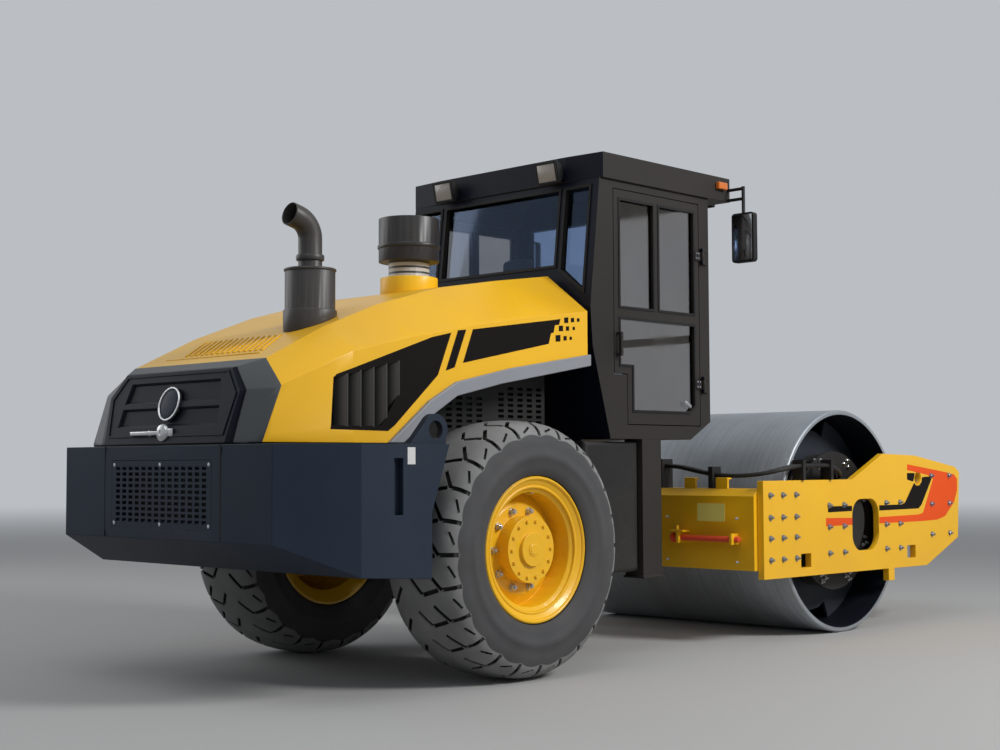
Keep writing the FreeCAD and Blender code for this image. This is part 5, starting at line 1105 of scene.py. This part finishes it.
def rolled_steel():
    """Worn steel: fine streaks round the drum, a blue-grey mill skin and dust."""
    made = bpy.data.materials.new("rolled_steel")
    made.use_nodes = True
    tree = made.node_tree
    shader = tree.nodes["Principled BSDF"]
    place = centred_place(tree, centre=(drum_middle.x, 0.0, drum_middle.z))
    parts = tree.nodes.new("ShaderNodeSeparateXYZ")
    tree.links.new(place, parts.inputs[0])
    across = tree.nodes.new("ShaderNodeCombineXYZ")
    tree.links.new(math_node(tree, "MULTIPLY", parts.outputs["Y"], 90.0), across.inputs["X"])
    tree.links.new(math_node(tree, "MULTIPLY", parts.outputs["X"], 1.3), across.inputs["Y"])
    tree.links.new(math_node(tree, "MULTIPLY", parts.outputs["Z"], 1.3), across.inputs["Z"])
    streaks = noise(tree, 1.0, 5.0, across.outputs["Vector"])
    cloud = spread(tree, noise(tree, 2.4, 6.0, place), 0.3, 0.7)
    steel = mixed(tree, spread(tree, streaks, 0.35, 0.65), (0.310, 0.345, 0.375), (0.430, 0.460, 0.490))
    steel = mixed(tree, math_node(tree, "MULTIPLY", cloud, 0.5), steel, (0.250, 0.265, 0.280))
    dirt = use_group(tree, road_dust, place, Amount=0.35)
    tree.links.new(mixed(tree, dirt.outputs["Share"], steel, (0.20, 0.18, 0.155)),
                   shader.inputs["Base Color"])
    tree.links.new(spread(tree, streaks, 0.3, 0.7, 0.40, 0.56), shader.inputs["Roughness"])
    shader.inputs["Metallic"].default_value = 0.65
    bump(tree, shader, streaks, 0.15, 0.0008)
    # Painted shade: the shell's inside is coloured blue-black
    reach = math_node(tree, "SQRT", math_node(
        tree, "ADD", math_node(tree, "MULTIPLY", parts.outputs["X"], parts.outputs["X"]),
        math_node(tree, "MULTIPLY", parts.outputs["Z"], parts.outputs["Z"])))
    over_painted(made, spread(tree, reach, 0.767, 0.771, 1.0, 0.0), (0.012, 0.016, 0.026))
    return made


finish_node("drum_shell", rolled_steel(), 0.004, 3)
drum_end_paint = sprayed_paint("drum_end_grey", (0.030, 0.038, 0.050), (0.020, 0.026, 0.036), 0.5,
                               dust=0.15, gloss=0.2)
finish_node("drum_end_discs", drum_end_paint, 0.004)
finish_node("drum_mounts", chassis_paint, 0.003)
carrier_face_y = -1.000
carrier_ring = 0.420
# Three bolts hold each buffer's foot: their places round the buffer's middle
foot_bolts = []
for turn in range(8):
    angle = math.radians(45.0 * turn + 22.5)
    for step in (-1, 0, 1):
        reach = carrier_ring + (0.050 if step == 0 else 0.012)
        around = angle + 0.072 * step
        foot_bolts.append((drum_middle.x + reach * math.cos(around), carrier_face_y,
                           drum_middle.z + reach * math.sin(around)))
foot_bolt = turned([(0.0, 0.001), (0.017, 0.001), (0.017, -0.003), (0.0128, -0.003),
                    (0.0128, -0.011), (0.010, -0.013), (0.006, -0.013), (0.006, -0.024),
                    (0.0, -0.025)], foot_bolts[0], 6)
foot_bolt = copies_at(foot_bolt, foot_bolts)
foot_bolt = finished(foot_bolt, "drum_carrier_bolts_right", bright_steel, "bright_steel",
                     "front_frame")
mirrored_copy(foot_bolt, "drum_carrier_bolts_left", "front_frame")
# Bolts that join each end disc's hub ring, on the drum itself
disc_face_y = -0.850
hub_bolt = turned([(0.0, 0.001), (0.0155, 0.001), (0.0155, -0.009), (0.013, -0.011), (0.0, -0.011)],
                  (drum_middle.x + 0.185, disc_face_y, drum_middle.z), 6)
hub_bolts = repeated(hub_bolt, 16, drum_middle, (0, 1, 0))
hub_bolts = finished(hub_bolts, "drum_hub_bolts_right", dark_bolts, "bright_steel", "drum")
mirrored_copy(hub_bolts, "drum_hub_bolts_left", "drum")

# Rear beam of the front frame
# Yellow box beam with the red lock bar in its ears, a blank label, grease nipples, and the pair
# of rubber hoses that run over the side plate to the drum's drive, screwed down in clamps.

beam_low, beam_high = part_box("rear_cross_beam")
hose_rubber = moulded_plastic("hose_rubber", (0.017, 0.017, 0.018), 0.42, 300.0, 0.12)
finish_node("drive_hoses", hose_rubber, 0.0)
blank_label = sprayed_paint("blank_label_yellow", (0.80, 0.66, 0.16), (0.74, 0.60, 0.14), 0.35,
                            dust=0.15, peel=0.03)
beam_label = sheet_piece([(beam_low.x - 0.0003, y, z) for y, z in
                          ((-0.949, 0.827), (-0.721, 0.827), (-0.721, 0.947), (-0.949, 0.947))],
                         (-1, 0, 0), 0.0012, 0.008)
finished(beam_label, "beam_blank_label", blank_label, "yellow_paint", "front_frame")
nipples = []
for nipple_y, nipple_z in ((-0.470, 0.560), (-0.470, 0.850), (-1.050, 0.560), (-1.050, 0.850)):
    stub = turned([(0.0, 0.0), (0.009, 0.0), (0.009, 0.006), (0.0045, 0.008), (0.0045, 0.016),
                   (0.0065, 0.019), (0.004, 0.023), (0.0, 0.024)], (0.0, 0.0, 0.0), 12, "Z")
    turned_about(stub, math.radians(-90.0), "Y", (0.0, 0.0, 0.0))
    stub.location = (beam_low.x, nipple_y, nipple_z)
    bpy.ops.object.transform_apply(location=True, rotation=False, scale=False)
    nipples.append(stub)
finished(joined(nipples), "beam_grease_nipples", bright_steel, "bright_steel", "front_frame")
clamp_screws = []
for clamp_x in (beam_low.x + 0.110 + 0.405, beam_low.x + 0.110 + 0.760):
    for clamp_y in (-1.150, -1.100):
        clamp_screws.append((clamp_x, clamp_y, beam_high.z + 0.195))
screw = turned([(0.0, -0.001), (0.010, -0.001), (0.010, 0.002), (0.0065, 0.002), (0.0065, 0.009),
                (0.005, 0.010), (0.0, 0.010)], clamp_screws[0], 6, "Z")
finished(copies_at(screw, clamp_screws), "hose_clamp_screws", bright_steel, "bright_steel",
         "front_frame")

# Steering cylinders
# Black barrels with bright chromed rods that reach to the centre joint.

chrome = bare_metal("chromed_rod", (0.80, 0.81, 0.83), 0.10, grain=60.0, dust=0.05)
for name in ("steering_rod_right", "steering_rod_left"):
    finish_node(name, chrome, 0.002)

# Counterweight's small fittings
# Bright screws hold the grille; a dark strip of painted shade marks the bend at each end of the flat
# tail panel, and a bare white label sits beside each slot.

ballast_low, ballast_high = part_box("counterweight")
grille_low, grille_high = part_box("counterweight_grille")
white_label = sprayed_paint("blank_label_white", (0.62, 0.62, 0.60), (0.56, 0.56, 0.55), 0.4,
                            dust=0.2, peel=0.03)
grille_screws = [(grille_low.x, y, z) for y in (grille_low.y + 0.022, 0.0, grille_high.y - 0.022)
                 for z in (grille_low.z + 0.022, grille_high.z - 0.022)]
screw = turned([(0.0, 0.001), (0.010, 0.001), (0.010, 0.0), (0.009, -0.0003), (0.0, -0.0004)],
               grille_screws[0], 20, "X")
finished(copies_at(screw, grille_screws), "grille_screws", bright_steel, "bright_steel",
         "rear_machine")
radiator = block((grille_low.x + 0.070, grille_low.y + 0.042, grille_low.z + 0.042),
                 (grille_low.x + 0.095, grille_high.y - 0.042, grille_high.z - 0.042), 0.003)
finished(radiator, "radiator_core", chassis_paint, "chassis_paint", "rear_machine")
# Painted shade: thin dark strips stand for the shaded bend at each end of the tail panel
seam_shade_strips = [block((ballast_low.x - 0.0004, middle_y - half, ballast_high.z - 0.500),
               (ballast_low.x + 0.004, middle_y + half, ballast_high.z - 0.001), 0.0002, 1)
         for middle_y, half in ((-0.547, 0.006), (0.547, 0.002))]
finished(joined(seam_shade_strips), "tail_panel_seam_shade", seal_rubber, "dark_paint", "rear_machine")
label_x = ballast_low.x + 0.704
label = sheet_piece([(label_x + dx, ballast_low.y + 0.0003, ballast_high.z - dz)
                     for dx, dz in ((0.0, 0.106), (0.054, 0.106), (0.054, 0.018), (0.0, 0.018))],
                    (0, -1, 0), 0.0007)
label = finished(label, "blank_label_right", white_label, "cab_paint", "rear_machine")
mirrored_copy(label, "blank_label_left", "rear_machine")

# Operator's seat
# Sprung seat with a padded cushion, back and headrest in dark woven cloth, on a plain pedestal
# with two padded armrests.


def woven_cloth():
    made = bpy.data.materials.new("seat_cloth")
    made.use_nodes = True
    tree = made.node_tree
    shader = tree.nodes["Principled BSDF"]
    place = centred_place(tree)
    weave = tree.nodes.new("ShaderNodeTexWave")
    weave.inputs["Scale"].default_value = 160.0
    weave.inputs["Distortion"].default_value = 2.0
    tree.links.new(place, weave.inputs["Vector"])
    cloud = spread(tree, noise(tree, 9.0, 4.0, place), 0.3, 0.7)
    tree.links.new(mixed(tree, cloud, (0.030, 0.031, 0.034), (0.046, 0.047, 0.050)),
                   shader.inputs["Base Color"])
    tree.links.new(spread(tree, weave.outputs["Fac"], 0.0, 1.0, 0.82, 0.95), shader.inputs["Roughness"])
    shader.inputs["Sheen Weight"].default_value = 0.35
    bump(tree, shader, weave.outputs["Fac"], 0.4, 0.0008)
    return made


def cushion_piece(low, high, puff, lean=0.0):
    """Padded block: rounded by subdivision, its faces swollen between the piped edges."""
    piece = block(low, high, 0.028, 3)
    bpy.ops.object.mode_set(mode="EDIT")
    bpy.ops.mesh.select_all(action="SELECT")
    bpy.ops.mesh.subdivide(number_cuts=5)
    bpy.ops.object.mode_set(mode="OBJECT")
    middle = (Vector(low) + Vector(high)) / 2.0
    half = (Vector(high) - Vector(low)) / 2.0
    for vertex in piece.data.vertices:
        off = vertex.co - middle
        share = Vector((off.x / half.x, off.y / half.y, off.z / half.z))
        flat = [1.0 - s * s for s in share]
        vertex.co.x += share.x * puff * max(flat[1], 0.0) * max(flat[2], 0.0)
        vertex.co.y += share.y * puff * max(flat[0], 0.0) * max(flat[2], 0.0)
        vertex.co.z += share.z * puff * max(flat[0], 0.0) * max(flat[1], 0.0)
    turned_about(piece, lean, "Y", middle)
    return piece


seat_cloth = woven_cloth()
seat_low, seat_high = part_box("cab_seat")
seat_x = seat_low.x + 0.045
seat_z = seat_low.z + 0.275
back_z = seat_z + 0.130
head_z = back_z + 0.590
pedestal_rings = []
for step in range(6):
    low_z = seat_low.z + 0.012 + step * 0.043
    pedestal_rings.append(block((seat_x + 0.078, -0.162, low_z), (seat_x + 0.362, 0.162, low_z + 0.038),
                                0.012, 3))
pedestal_core = block((seat_x + 0.092, -0.148, seat_low.z), (seat_x + 0.348, 0.148, seat_z + 0.02), 0.004)
seat_base = joined([pedestal_core] + pedestal_rings)
seat_base = finished(seat_base, "seat_pedestal", dark_plastic, "console_plastic", "rear_machine")
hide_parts("cab_seat")
cushion = cushion_piece((seat_x + 0.010, -0.240, seat_z + 0.004), (seat_x + 0.470, 0.240, back_z - 0.014),
                        0.012)
backrest = cushion_piece((seat_x - 0.003, -0.230, back_z - 0.004), (seat_x + 0.090, 0.230, head_z - 0.010),
                         0.010, math.radians(-4.5))
headrest = cushion_piece((seat_x - 0.034, -0.120, head_z + 0.006), (seat_x + 0.034, 0.120, head_z + 0.166),
                         0.009, math.radians(-2.0))
for piece, name, fill in ((cushion, "seat_cushion", 0.7), (backrest, "seat_backrest", 0.7),
                          (headrest, "seat_headrest", 0.8)):
    finished(piece, name, seat_cloth, "seat_fabric", "rear_machine", 60.0)
for side, side_name in ((-1.0, "right"), (1.0, "left")):
    arm = cushion_piece((seat_x + 0.074, side * 0.285 - 0.031, seat_z + 0.264),
                        (seat_x + 0.396, side * 0.285 + 0.031, seat_z + 0.306), 0.003)
    arm = finished(arm, "armrest_" + side_name, seat_cloth, "seat_fabric", "rear_machine", 60.0)
    post = block((seat_x + 0.074, side * 0.285 - 0.022, seat_z + 0.084),
                 (seat_x + 0.126, side * 0.285 + 0.022, seat_z + 0.266), 0.006, 3)
    finished(post, "armrest_post_" + side_name, dark_plastic, "console_plastic", "rear_machine")
lever = turned([(0.0, 0.0), (0.012, 0.0), (0.012, 0.010), (0.005, 0.014), (0.005, 0.052), (0.011, 0.058),
                (0.017, 0.070), (0.018, 0.082), (0.012, 0.094), (0.0, 0.097)],
               (seat_x + 0.360, -0.285, seat_z + 0.304), 24, "Z")
finished(lever, "drive_lever", dark_plastic, "console_plastic", "rear_machine", 60.0)

# Steering console
# Moulded column with a round wheel, in dark plastic with a fine pebbled skin.

finish_node("steering_console", dark_plastic, 0.003, 3)
